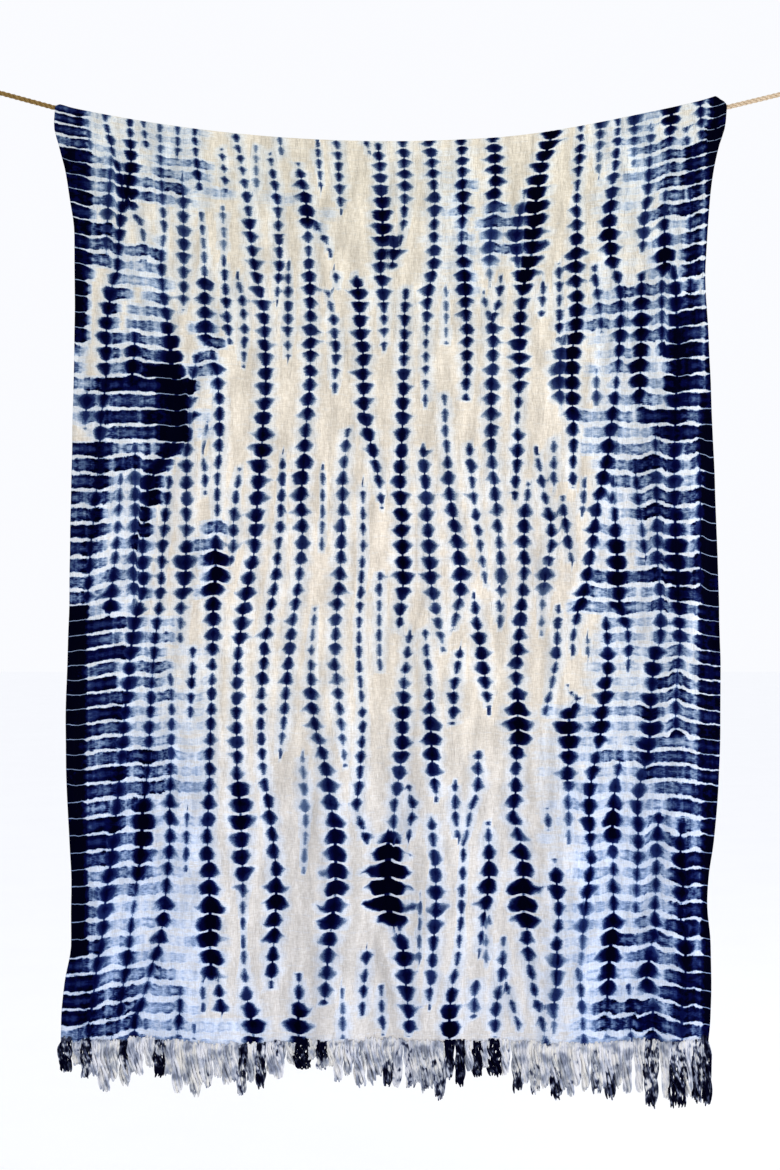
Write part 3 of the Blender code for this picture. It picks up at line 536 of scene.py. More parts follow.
def rope_z(x):
    held = np.minimum(ROPE_LOAD_X, np.abs(x))
    slope = np.where(np.asarray(x) < 0, ROPE_LEFT_SLOPE, ROPE_RIGHT_SLOPE)
    return ROPE_SAG * held**2 + slope * (np.abs(x) - held)


def hem_z(u):
    return HEM_Z + HEM_WAVE * np.sin(math.tau * (2.2 * u + 0.1))


def fold_forward(x, z):
    total = np.zeros_like(x)
    for fold in FOLDS:
        down = z / HEM_Z
        centre = fold.x_top + (fold.x_hem - fold.x_top) * down
        shown = ease(fold.start, fold.start - FOLD_FADE_IN, z)
        total += fold.forward * shown * np.exp(-(((x - centre) / fold.half_width) ** 2))
    return total


def crease_forward(x, z):
    """The short sharp creases, each fading out at both ends."""
    total = np.zeros_like(x)
    for crease in CREASES:
        x0, z0 = from_photo(crease.x0, crease.y0)
        x1, z1 = from_photo(crease.x1, crease.y1)
        t = (z - z0) / (z1 - z0)
        off = (x - (x0 + (x1 - x0) * np.clip(t, 0, 1))) / crease.half_width
        shown = ease(-0.15, 0.2, t) * (1 - ease(0.8, 1.15, t))
        total += crease.height * shown * np.exp(-(off**2))
    return total


def ripple_forward(x, z):
    """Many slight waves in all directions, faded in just below the rope."""
    chance = random.Random(RIPPLE_SEED)
    total = np.zeros_like(x)
    for _ in range(RIPPLES):
        across = math.tau / chance.uniform(*RIPPLE_ACROSS)
        down = math.tau / chance.uniform(*RIPPLE_DOWN) * chance.choice((-1, 1))
        phase = chance.uniform(0, math.tau)
        total += RIPPLE_HEIGHT * np.sin(across * x + down * z + phase)
    return total * ease(0.005, 0.060, rope_z(x) - z)


def edge_back(x, z):
    total = np.zeros_like(x)
    for side in ("left", "right"):
        inward = np.abs(x - smooth_read(OUTLINE, "z", side, z))
        turned = 1 - ease(0.0, EDGE_TURN_WIDTH, inward)
        total += smooth_read(EDGE_TURN, "z", side, z) * turned
    return total * ease(0.010, 0.100, rope_z(x) - z)


def top_x(u):
    left, right = OUTLINE[0].left, OUTLINE[0].right
    return left + (right - left) * u


def sheet_x(u, z):
    left, right = (smooth_read(OUTLINE, "z", side, z) for side in ("left", "right"))
    return left + (right - left) * u


WRAP_RADIUS = ROPE_DIAMETER / 2 + SEAT_GAP + CLOTH_THICKNESS / 2


def front_points(u, down):
    start = rope_z(top_x(u))
    z = start + (hem_z(u) - start) * down
    x = sheet_x(u, z)
    forward = fold_forward(x, z) + crease_forward(x, z) + ripple_forward(x, z) - edge_back(x, z)
    return np.stack([x, -WRAP_RADIUS - forward, z], axis=-1)


def arch_points(u, angle):
    flat = top_x(u)
    pull = np.exp(-(((flat - flat.min()) / CORNER_WIDTH) ** 2))
    pull = pull - np.exp(-(((flat.max() - flat) / CORNER_WIDTH) ** 2))
    x = flat + CORNER_PULL * pull * np.sin(angle) ** 2
    height = WRAP_RADIUS + smooth_read(ARCH_RISE, "x", "rise", flat)
    y, z = -WRAP_RADIUS * np.cos(angle), rope_z(flat) + height * np.sin(angle)
    return np.stack(np.broadcast_arrays(x, y, z), axis=-1)


def flap_points(u, down):
    top = top_x(u)
    z = rope_z(top) - FLAP_LENGTH * down
    x = sheet_x(u, z)
    gap = 2 * WRAP_RADIUS * (1 - down) + FLAP_GAP * down
    y = gap - WRAP_RADIUS - fold_forward(x, z) + edge_back(x, z)
    return np.stack([x, y, z], axis=-1)


def sheet_grid():
    """The mid-surface, as rows of points that run up the flap, over the rope and down."""
    u = np.linspace(0, 1, COLUMNS + 1)[None, :]
    flap = flap_points(u, np.linspace(1, 0, FLAP_ROWS + 1)[:-1, None])
    arch = arch_points(u, np.linspace(math.pi, 0, ARCH_ROWS + 1)[:-1, None])
    front = front_points(u, np.linspace(0, 1, FRONT_ROWS + 1)[:, None])
    return np.concatenate([flap, arch, front])


def fold_line_y(x):
    return TOP_Y - TOP_CURVE * (x - TOP_X) ** 2


def tie_number(x, y):
    """Which tie each photo place lies at, counted down from the rope, with a fraction."""
    sag = (fold_line_y(x) - TOP_Y) * (1 - ease(SAG_Y, LEVEL_Y, y))
    droop = DROOP[0] * (1 - ease(*DROOP_LEFT_X, x)) + DROOP[1] * ease(*DROOP_RIGHT_X, x)
    droop = droop * ease(LEVEL_Y, DROOP_FULL_Y, y) * (1 + DROOP_MORE * ease(*DROOP_MORE_Y, y))
    level = y - sag - droop
    steps = np.arange(*COUNTED_Y)
    pitch = np.interp(steps, column(TIE_PITCH, "y"), column(TIE_PITCH, "pitch"))
    counted = np.concatenate([[0], np.cumsum(1 / pitch)[:-1]])
    start = np.interp(TOP_Y, steps, counted)
    return np.interp(level, steps, counted) - start


def line_fields(x, y):
    """Of the dyed line that counts most at each place: offset, half width, ink, tie lift."""
    best = np.full(x.shape, NO_LINE)
    offset = np.full(x.shape, FAR_OFF)
    half = np.full(x.shape, NO_LINE_HALF)
    ink = np.ones(x.shape)
    lift = np.zeros(x.shape)
    low_right = ease(*RIGHT_LIFT_X, x) * ease(*RIGHT_LIFT_Y, y)
    for strength, lines in ((1.0, DARK_LINES), (BLUE_INK, BLUE_LINES)):
        for number, line in enumerate(lines):
            xs, ys, halves = np.reshape(line, (-1, 3)).T
            ends = [ys[0] - LINE_TAPER, *ys, ys[-1] + LINE_TAPER]
            here = (y > ends[0]) & (y < ends[-1])
            across = x - np.interp(y, ys, xs)
            wide = np.interp(y, ends, [LINE_TIP, *halves, LINE_TIP])
            wide = wide * (LINE_SHARE[0] + LINE_SHARE[1] * ease(*LINE_WIDE, wide))
            inside = np.where(here, 1 - np.abs(across) / wide, NO_LINE)
            better = inside > best
            best = np.where(better, inside, best)
            offset = np.where(better, across, offset)
            half = np.where(better, wide, half)
            own = strength * (LINE_INK[0] + LINE_INK[1] * (number * GOLDEN_RATIO % 1))
            ink = np.where(better, own, ink)
            turn = (-1) ** number * (1 + (RIGHT_LIFT - 1) * low_right)
            lift = np.where(better, turn * np.minimum(wide / TIE_LIFT_HALF, 1), lift)
    lift = TIE_LIFT * lift * np.exp(-((offset / TIE_LIFT_WIDTH) ** 2))
    return np.clip(offset, -FAR_OFF, FAR_OFF), half, ink, lift


def within(start, end, softness, at):
    return ease(start - softness, start + softness, at) * (
        1 - ease(end - softness, end + softness, at)
    )


def spread_field(x, y, tie, odd):
    """The dye between the lines, with painted shade at the turned-back side edges, in the nearest even
    or odd row of ties, even within a row.
    """
    chance = np.random.default_rng(SPREAD_SEED)
    row = (2 * np.round((tie - 0.5 - odd) / 2)).astype(int) + odd
    pitch = np.interp(y, column(TIE_PITCH, "y"), column(TIE_PITCH, "pitch"))
    y = y + (row + 0.5 - tie) * pitch
    row = row % SPREAD_ROWS
    push = chance.uniform(-1, 1, SPREAD_ROWS)[row]
    turns = [math.tau * chance.uniform(0, 1, SPREAD_ROWS)[row] for _ in SPREAD_WAVES]
    push = push + np.sin(x / SPREAD_WAVES[0] + turns[0])
    change = 1 + SPREAD_CHANGE * np.sin(x / SPREAD_WAVES[1] + turns[1])
    moved = ease(*SPREAD_KEPT_LEFT, x) * (1 - ease(*SPREAD_KEPT_RIGHT, x))
    x = x + SPREAD_REACH * push * moved
    total = np.zeros(x.shape)
    for s in SPREADS:
        across = within(s.x0, s.x1, SPREAD_SOFTNESS[0], x)
        down = within(s.y0, s.y1, SPREAD_SOFTNESS[1], y)
        total = np.maximum(total, s.amount * across * down)
    return total * change


def dye_fields(grid):
    """The dye at each grid point, which soaks through and runs on over the rope."""
    x, y = photo_x(grid[..., 0]), photo_y(grid[..., 2])
    over = FLAP_ROWS + ARCH_ROWS
    steps = np.linalg.norm(np.diff(grid, axis=0), axis=-1)
    tie = tie_number(x, y)
    beyond = np.cumsum(steps[:over][::-1], axis=0)[::-1]
    tie[:over] = tie[over] - beyond / FLAP_TIE_PITCH
    y[:over] = y[over]
    y = np.maximum(y, fold_line_y(x) + DYE_MARGIN)
    offset, half, ink, lift = line_fields(x, y)
    tie = tie + lift
    return {
        "tie": tie,
        "line_offset": offset,
        "line_distance": np.abs(offset),
        "line_half": half,
        "line_ink": ink,
        "spread_even": spread_field(x, y, tie, 0),
        "spread_odd": spread_field(x, y, tie, 1),
    }


def mesh_object(name, points, faces, material, fields=None):
    mesh = bpy.data.meshes.new(name)
    mesh.from_pydata([tuple(p) for p in points], [], faces)
    mesh.validate()
    for field, values in (fields or {}).items():
        layer = mesh.attributes.new(field, "FLOAT", "POINT")
        layer.data.foreach_set("value", np.asarray(values, np.float32).ravel())
    mesh.shade_smooth()
    mesh.materials.append(material)
    obj = bpy.data.objects.new(name, mesh)
    bpy.context.scene.collection.objects.link(obj)
    return obj


def grid_normals(grid):
    across = np.gradient(grid, axis=1)
    along = np.gradient(grid, axis=0)
    normal = np.cross(across, along)
    return normal / np.linalg.norm(normal, axis=-1, keepdims=True)


def make_cloth(material):
    grid = sheet_grid()
    shift = grid_normals(grid) * CLOTH_THICKNESS / 2
    rows, columns = grid.shape[:2]
    index = np.arange(rows * columns).reshape(rows, columns)
    a, b, c, d = index[:-1, :-1], index[:-1, 1:], index[1:, 1:], index[1:, :-1]
    upper = np.stack([a, b, c, d], axis=-1).reshape(-1, 4)
    lower = upper[:, ::-1] + index.size
    edge = [*index[0, :], *index[1:, -1], *index[-1, -2::-1], *index[-2:0:-1, 0]]
    pairs = list(zip(edge, edge[1:] + edge[:1]))
    rim = np.array([(q, p, p + index.size, q + index.size) for p, q in pairs])
    points = np.concatenate([(grid + shift).reshape(-1, 3), (grid - shift).reshape(-1, 3)])
    faces = np.concatenate([upper, lower, rim]).tolist()
    fields = {name: np.tile(values.ravel(), 2) for name, values in dye_fields(grid).items()}
    return mesh_object("dyed_cloth", points, faces, material, fields), grid


def tube(points, normals, radii, sides):
    """Rings of points along a path, in the planes square to it."""
    tangents = np.gradient(points, axis=0)
    tangents /= np.linalg.norm(tangents, axis=1, keepdims=True)
    side = np.cross(tangents, normals)
    side /= np.linalg.norm(side, axis=1, keepdims=True)
    out = np.cross(side, tangents)
    angles = np.linspace(0, math.tau, sides, endpoint=False)[None, :, None]
    ring = np.cos(angles) * out[:, None] + np.sin(angles) * side[:, None]
    return points[:, None] + ring * np.asarray(radii).reshape(-1, 1, 1)


def tube_faces(rings, sides, base, closed=False):
    faces = []
    for i in range(rings if closed else rings - 1):
        for j in range(sides):
            k = (j + 1) % sides
            here, after = base + i * sides, base + (i + 1) % rings * sides
            faces.append((here + j, here + k, after + k, after + j))
    if not closed:
        faces.append(tuple(base + j for j in reversed(range(sides))))
        faces.append(tuple(base + (rings - 1) * sides + j for j in range(sides)))
    return faces


class Tubes:
    """Gathers many tubes into one mesh, with a number or two at each of their rings."""

    def __init__(self):
        self.points = []
        self.faces = []
        self.fields = {}

    def add(self, points, normals, radii, sides, closed=False, **fields):
        rings = tube(np.asarray(points, float), np.asarray(normals, float), radii, sides)
        base = sum(len(p) for p in self.points)
        self.points.append(rings.reshape(-1, 3))
        self.faces += tube_faces(len(rings), sides, base, closed)
        for name, values in fields.items():
            values = np.repeat(np.broadcast_to(values, len(rings)), sides)
            self.fields.setdefault(name, []).append(values)

    def build(self, name, material):
        fields = {key: np.concatenate(parts) for key, parts in self.fields.items()}
        return mesh_object(name, np.concatenate(self.points), self.faces, material, fields)


def add_cable(tubes, centres, normals, radius, closed=False):
    """Strands laid round a path, right-handed."""
    centres, normals = np.asarray(centres, float), np.asarray(normals, float)
    following = np.roll(centres, -1, axis=0) if closed else centres[1:]
    steps = np.linalg.norm(following - centres[: len(following)], axis=1)
    length = np.concatenate([[0], np.cumsum(steps)])[: len(centres)]
    total = steps.sum()
    turns = total / ROPE_PITCH * ROPE_DIAMETER / (2 * radius)
    turns = round(turns) if closed else turns
    tangents = np.gradient(centres, axis=0)
    if closed:
        tangents = np.roll(centres, -1, axis=0) - np.roll(centres, 1, axis=0)
    tangents /= np.linalg.norm(tangents, axis=1, keepdims=True)
    across = np.cross(tangents, normals)
    for k in range(STRANDS):
        angle = (math.tau * (k / STRANDS + turns * length / total))[:, None]
        out = np.cos(angle) * normals + np.sin(angle) * across
        path = centres + out * radius * STRAND_OFFSET
        thick = np.full(len(path), radius * STRAND_RADIUS)
        tubes.add(path, out, thick, STRAND_SIDES, closed, along=length, strand=float(k))


def rope_path():
    count = math.ceil(2 * KNOT_X / ROPE_STEP)
    x = np.linspace(-KNOT_X, KNOT_X, count + 1)
    return np.stack([x, np.zeros_like(x), rope_z(x)], axis=1)


def make_rope(material):
    path = rope_path()
    tubes = Tubes()
    add_cable(tubes, path, np.broadcast_to([0, -1, 0], path.shape), ROPE_DIAMETER / 2)
    return tubes.build("rope_line", material), path


def make_rope_ends(material):
    """The knot and loop that finish each end of the rope."""
    tubes = Tubes()
    for side, slope in ((-1, ROPE_LEFT_SLOPE), (1, ROPE_RIGHT_SLOPE)):
        tilt = math.atan(slope)
        axis = np.array([side * math.cos(tilt), 0, math.sin(tilt)])
        up = np.array([-side * math.sin(tilt), 0, math.cos(tilt)])
        back = np.array([0, 1.0, 0])
        knot = np.array([side * KNOT_X, 0, rope_z(side * KNOT_X)])
        turn = np.linspace(0, math.tau * KNOT_TURNS, KNOT_STEPS * KNOT_TURNS + 1)[:, None]
        out = np.cos(turn) * up + np.sin(turn) * back
        along = (turn / turn[-1] - 0.5) * KNOT_LENGTH
        add_cable(tubes, knot + along * axis + out * KNOT_RADIUS, out, KNOT_ROPE_RADIUS)
        centre = np.array([side * LOOP_X, 0, rope_z(side * LOOP_X)])
        turn = np.linspace(0, math.tau, LOOP_STEPS, endpoint=False)[:, None]
        ring = LOOP_HALF_LENGTH * np.cos(turn) * axis + LOOP_HALF_HEIGHT * np.sin(turn) * up
        flat = np.broadcast_to(back, ring.shape)
        add_cable(tubes, centre + ring, flat, ROPE_DIAMETER / 2, closed=True)
    return tubes.build("rope_ends", material)


def all_locks():
    """The main locks, with a thin pale one in each wide space between two of them."""
    locks = []
    for lock, after in zip(LOCKS, LOCKS[1:] + [None]):
        locks.append(lock)
        if after and after.x - lock.x > WIDEST_GAP:
            tip = (lock.tip + after.tip) / 2 - THIN_LOCK_SHORT
            middle = (lock.x + after.x) / 2
            thin = {"width": THIN_LOCK_WIDTH, "top_ink": THIN_LOCK_INK, "tip_ink": THIN_LOCK_INK}
            locks.append(lock._replace(x=middle, tip=tip, **thin))
    return locks


def hem_at(grid, x):
    """The hem's mid-surface point at a place across the cloth."""
    hem = grid[-1]
    return np.array([x, np.interp(x, hem[:, 0], hem[:, 1]), np.interp(x, hem[:, 0], hem[:, 2])])


def add_lock(tubes, chance, grid, lock, left, right):
    """One lock: yarns that leave the hem side by side and twist together below it."""
    x, tip_z = from_photo(lock.x, lock.tip)
    half = lock.width * PX / 2
    yarns = 3 + round(2 * half / YARN_PITCH)
    sway, swing = (chance.uniform(-LOCK_SWAY, LOCK_SWAY) for _ in range(2))
    raised = chance.uniform(*LOCK_ROOT)
    phase = chance.uniform(0, math.tau)
    t = np.linspace(0, 1, YARN_STEPS + 1)
    gather = ease(0.0, LOCK_GATHERED, t)
    girth = 1.12 - 0.30 * t + 0.12 * np.sin(math.pi * t)
    seats = [(math.sqrt((k + 0.5) / yarns), phase + k * GOLDEN_ANGLE) for k in range(yarns)]
    seats.sort(key=lambda seat: seat[0] * math.cos(seat[1] + 0.3 * math.tau * YARN_TURNS))
    for k, (reach, angle) in enumerate(seats):
        root = hem_at(grid, left + (right - left) * (k + 0.5) / yarns)
        root[1] -= FRINGE_FORWARD
        root[2] += raised + chance.uniform(*FRINGE_ROOT)
        length = (root[2] - tip_z) * chance.uniform(*YARN_LENGTH)
        turn = angle + math.tau * YARN_TURNS * t
        round_x = half * reach * girth * np.cos(turn)
        round_y = LOCK_DEPTH * reach * np.sin(turn)
        wave = YARN_WAVE * np.sin(math.tau * (2.6 * t + chance.uniform(0, 1)))
        path = np.stack(
            [
                root[0] + (x + sway * t * t + round_x - root[0]) * gather + wave * ease(0, 0.2, t),
                root[1] + (swing * t + round_y) * gather,
                root[2] - length * t,
            ],
            axis=1,
        )
        radii = YARN_RADIUS * (0.75 + 0.25 * gather) * (1 - 0.6 * ease(0.9, 1.0, t))
        ink = lock.top_ink + (lock.tip_ink - lock.top_ink) * ease(0.25, 0.8, t)
        facing = np.broadcast_to([0, -1, 0], path.shape)
        tubes.add(path, facing, radii, YARN_SIDES, ink=ink, yarn=chance.uniform(0, YARN_KINDS))


def make_fringe(grid, material):
    chance = random.Random(FRINGE_SEED)
    tubes = Tubes()
    locks = all_locks()
    places = [from_photo(lock.x, lock.tip)[0] for lock in locks]
    bounds = [(a + b) / 2 for a, b in zip(places, places[1:])]
    bounds.insert(0, grid[-1, 0, 0] + FRINGE_INSET)
    bounds.append(grid[-1, -1, 0] - FRINGE_INSET)
    for lock, left, right in zip(locks, bounds, bounds[1:]):
        add_lock(tubes, chance, grid, lock, left, right)
    return tubes.build("warp_fringe", material)


def paint(red, green, blue):
    """A colour as it is seen, turned to the linear values that shaders take."""
    seen = np.array([red, green, blue])
    linear = np.where(seen <= 0.04045, seen / 12.92, ((seen + 0.055) / 1.055) ** 2.4)
    return (*linear.tolist(), 1.0)


class Graph:
    """A material's node tree, built by calls that take sockets or plain numbers."""

    def __init__(self, name, roughness):
        self.material = bpy.data.materials.new(name)
        self.material.use_nodes = True
        self.tree = self.material.node_tree
        self.shader = self.tree.nodes["Principled BSDF"]
        self.shader.inputs["Roughness"].default_value = roughness
        self.shader.inputs["Specular IOR Level"].default_value = SPECULAR

    def put(self, socket, value):
        if isinstance(value, bpy.types.NodeSocket):
            self.tree.links.new(value, socket)
        else:
            socket.default_value = value

    def node(self, kind, settings=None, inputs=None):
        node = self.tree.nodes.new(kind)
        for key, value in (settings or {}).items():
            setattr(node, key, value)
        for key, value in (inputs or {}).items():
            self.put(node.inputs[key], value)
        return node

    def field(self, name):
        return self.node("ShaderNodeAttribute", {"attribute_name": name}).outputs["Fac"]

    def math(self, operation, *values):
        settings = {"operation": operation}
        return self.node("ShaderNodeMath", settings, dict(enumerate(values))).outputs[0]

    def times(self, a, b):
        return self.math("MULTIPLY", a, b)

    def plus(self, a, b):
        return self.math("ADD", a, b)

    def less(self, a, b):
        return self.math("SUBTRACT", a, b)

    def step(self, value, low, high, bottom=0.0, top=1.0):
        """bottom below low, top above high, and smooth between them."""
        inputs = {
            "Value": value, "From Min": low, "From Max": high, "To Min": bottom, "To Max": top
        }
        settings = {"interpolation_type": "SMOOTHSTEP"}
        return self.node("ShaderNodeMapRange", settings, inputs).outputs["Result"]

    def places(self, scale):
        where = self.node("ShaderNodeTexCoord").outputs["Object"]
        inputs = {"Vector": where, "Scale": scale}
        return self.node("ShaderNodeMapping", None, inputs).outputs["Vector"]

    def split(self, vector, axis):
        return self.node("ShaderNodeSeparateXYZ", None, {"Vector": vector}).outputs[axis]

    def vector(self, x, y, z):
        return self.node("ShaderNodeCombineXYZ", None, {"X": x, "Y": y, "Z": z}).outputs[0]

    def noise(self, vector, scale=1.0, detail=2.0, roughness=0.5):
        inputs = {"Vector": vector, "Scale": scale, "Detail": detail, "Roughness": roughness}
        return self.node("ShaderNodeTexNoise", None, inputs).outputs["Fac"]

    def ramp(self, value, stops):
        node = self.node("ShaderNodeValToRGB", None, {"Fac": value})
        elements = node.color_ramp.elements
        while len(elements) < len(stops):
            elements.new(0.5)
        for element, (place, colour) in zip(elements, stops):
            element.position = place
            element.color = colour
        return node.outputs["Color"]

    def mix(self, factor, a, b, blend="MIX"):
        settings = {"data_type": "RGBA", "blend_type": blend}
        node = self.node("ShaderNodeMix", settings)
        self.put(node.inputs["Factor"], factor)
        self.put(node.inputs[6], a)
        self.put(node.inputs[7], b)
        return node.outputs[2]

    def bump(self, height, distance, strength=1.0, over=None):
        inputs = {"Height": height, "Distance": distance, "Strength": strength}
        if over:
            inputs["Normal"] = over
        return self.node("ShaderNodeBump", None, inputs).outputs["Normal"]

    def finish(self, colour, normal):
        self.put(self.shader.inputs["Base Color"], colour)
        self.put(self.shader.inputs["Normal"], normal)
        return self.material


DYE_STOPS = [
    (0.00, paint(0.900, 0.866, 0.830)),
    (0.07, paint(0.892, 0.900, 0.925)),
    (0.20, paint(0.652, 0.708, 0.800)),
    (0.38, paint(0.345, 0.425, 0.565)),
    (0.56, paint(0.112, 0.165, 0.355)),
    (0.76, paint(0.012, 0.022, 0.205)),
    (1.00, paint(0.000, 0.002, 0.060)),
]
BLUISH = (0.93, 0.99, 1.09, 1.0)  # what the dye that spread multiplies the colour by

# How the whole cloth's tone changes from the rope down to the hem.
LAST_TIE = 61.0
TONE_STOPS = [
    (0.07, paint(0.974, 0.970, 0.918)),
    (0.50, paint(1.012, 1.002, 0.970)),
    (0.64, paint(1.010, 1.004, 0.974)),
    (0.78, paint(0.968, 0.982, 0.998)),
    (1.00, paint(0.948, 0.966, 0.994)),
]
YARN_STOPS = [
    (0.00, paint(0.930, 0.932, 0.940)),
    (0.35, paint(0.690, 0.720, 0.780)),
    (0.60, paint(0.29, 0.32, 0.43)),
    (1.00, paint(0.01, 0.012, 0.10)),
]
YARN_TONES = [(0.4, paint(0.98, 0.98, 1.0)), (0.9, paint(1.0, 0.985, 0.955))]
TAN_STOPS = [
    (0.30, paint(0.40, 0.30, 0.16)),
    (0.50, paint(0.56, 0.45, 0.26)),
    (0.70, paint(0.71, 0.60, 0.40)),
]
PALE_STOPS = [
    (0.30, paint(0.72, 0.61, 0.48)),
    (0.50, paint(0.86, 0.77, 0.65)),
    (0.70, paint(0.93, 0.87, 0.78)),
]
FLOOR_STOPS = [(0.3, paint(0.985, 0.988, 0.995)), (0.7, paint(0.99, 0.993, 1.0))]
WALL_COLOUR = paint(0.982, 0.986, 1.0)


def bead_depth(g, tie, swell, bleed):
    """How far each place lies outside the nearest bead, in photograph pixels."""
    row = g.math("FLOOR", tie)
    tied = g.math("FLOOR", g.plus(tie, 0.5))
    x = g.times(g.split(g.places((1, 1, 1)), "X"), 27.0)
    bead = g.noise(g.vector(x, g.times(row, 5.3), 0.0), detail=1.0)
    stem = g.noise(g.vector(x, g.times(tied, 7.1), 9.0), detail=1.0)
    half = g.field("line_half")
    size = g.step(bead, 0.28, 0.72, g.step(half, 2.0, 6.0, 0.35, 0.70), 1.32)
    power = g.math("MULTIPLY_ADD", half, -0.070, 0.88)
    power = g.math("MAXIMUM", power, 0.18)
    base = g.step(stem, 0.35, 0.65, g.step(half, 1.6, 4.2, -1.00, 0.04), 0.36)
    point = g.step(stem, 0.30, 0.70, 0.24, 0.0)
    pointed = g.times(g.math("POWER", swell, 2.6), point)
    rounded = g.times(g.math("POWER", swell, power), g.less(1.0, point))
    reach = g.plus(pointed, rounded)
    reach = g.plus(g.times(reach, g.less(1.0, base)), base)
    reach = g.times(g.times(reach, size), half)
    away = g.math(
        "MAXIMUM",
        g.math("ABSOLUTE", g.field("line_offset")),
        g.less(g.field("line_distance"), 0.5),
    )
    edge = g.less(away, reach)
    edge = g.plus(edge, g.math("MULTIPLY_ADD", bleed, 4.4, -2.2))
    wing = g.noise(g.vector(x, g.times(row, 3.7), 31.0), detail=1.0)
    wing = g.times(g.step(wing, 0.40, 0.72, 0.6, 7.0), g.step(swell, 0.30, 1.0))
    wing = g.times(wing, g.step(half, 1.5, 6.0, 0.25, 1.0))
    blur = g.math("DIVIDE", edge, g.plus(wing, 4.0))
    pale = g.step(bead, 0.52, 0.66, 1.0, 0.80)
    pale = g.math("MAXIMUM", pale, g.step(half, 5.0, 8.0))
    spare = g.less(away, g.times(half, 0.16))
    return edge, blur, pale, g.step(spare, -0.6, 0.8)


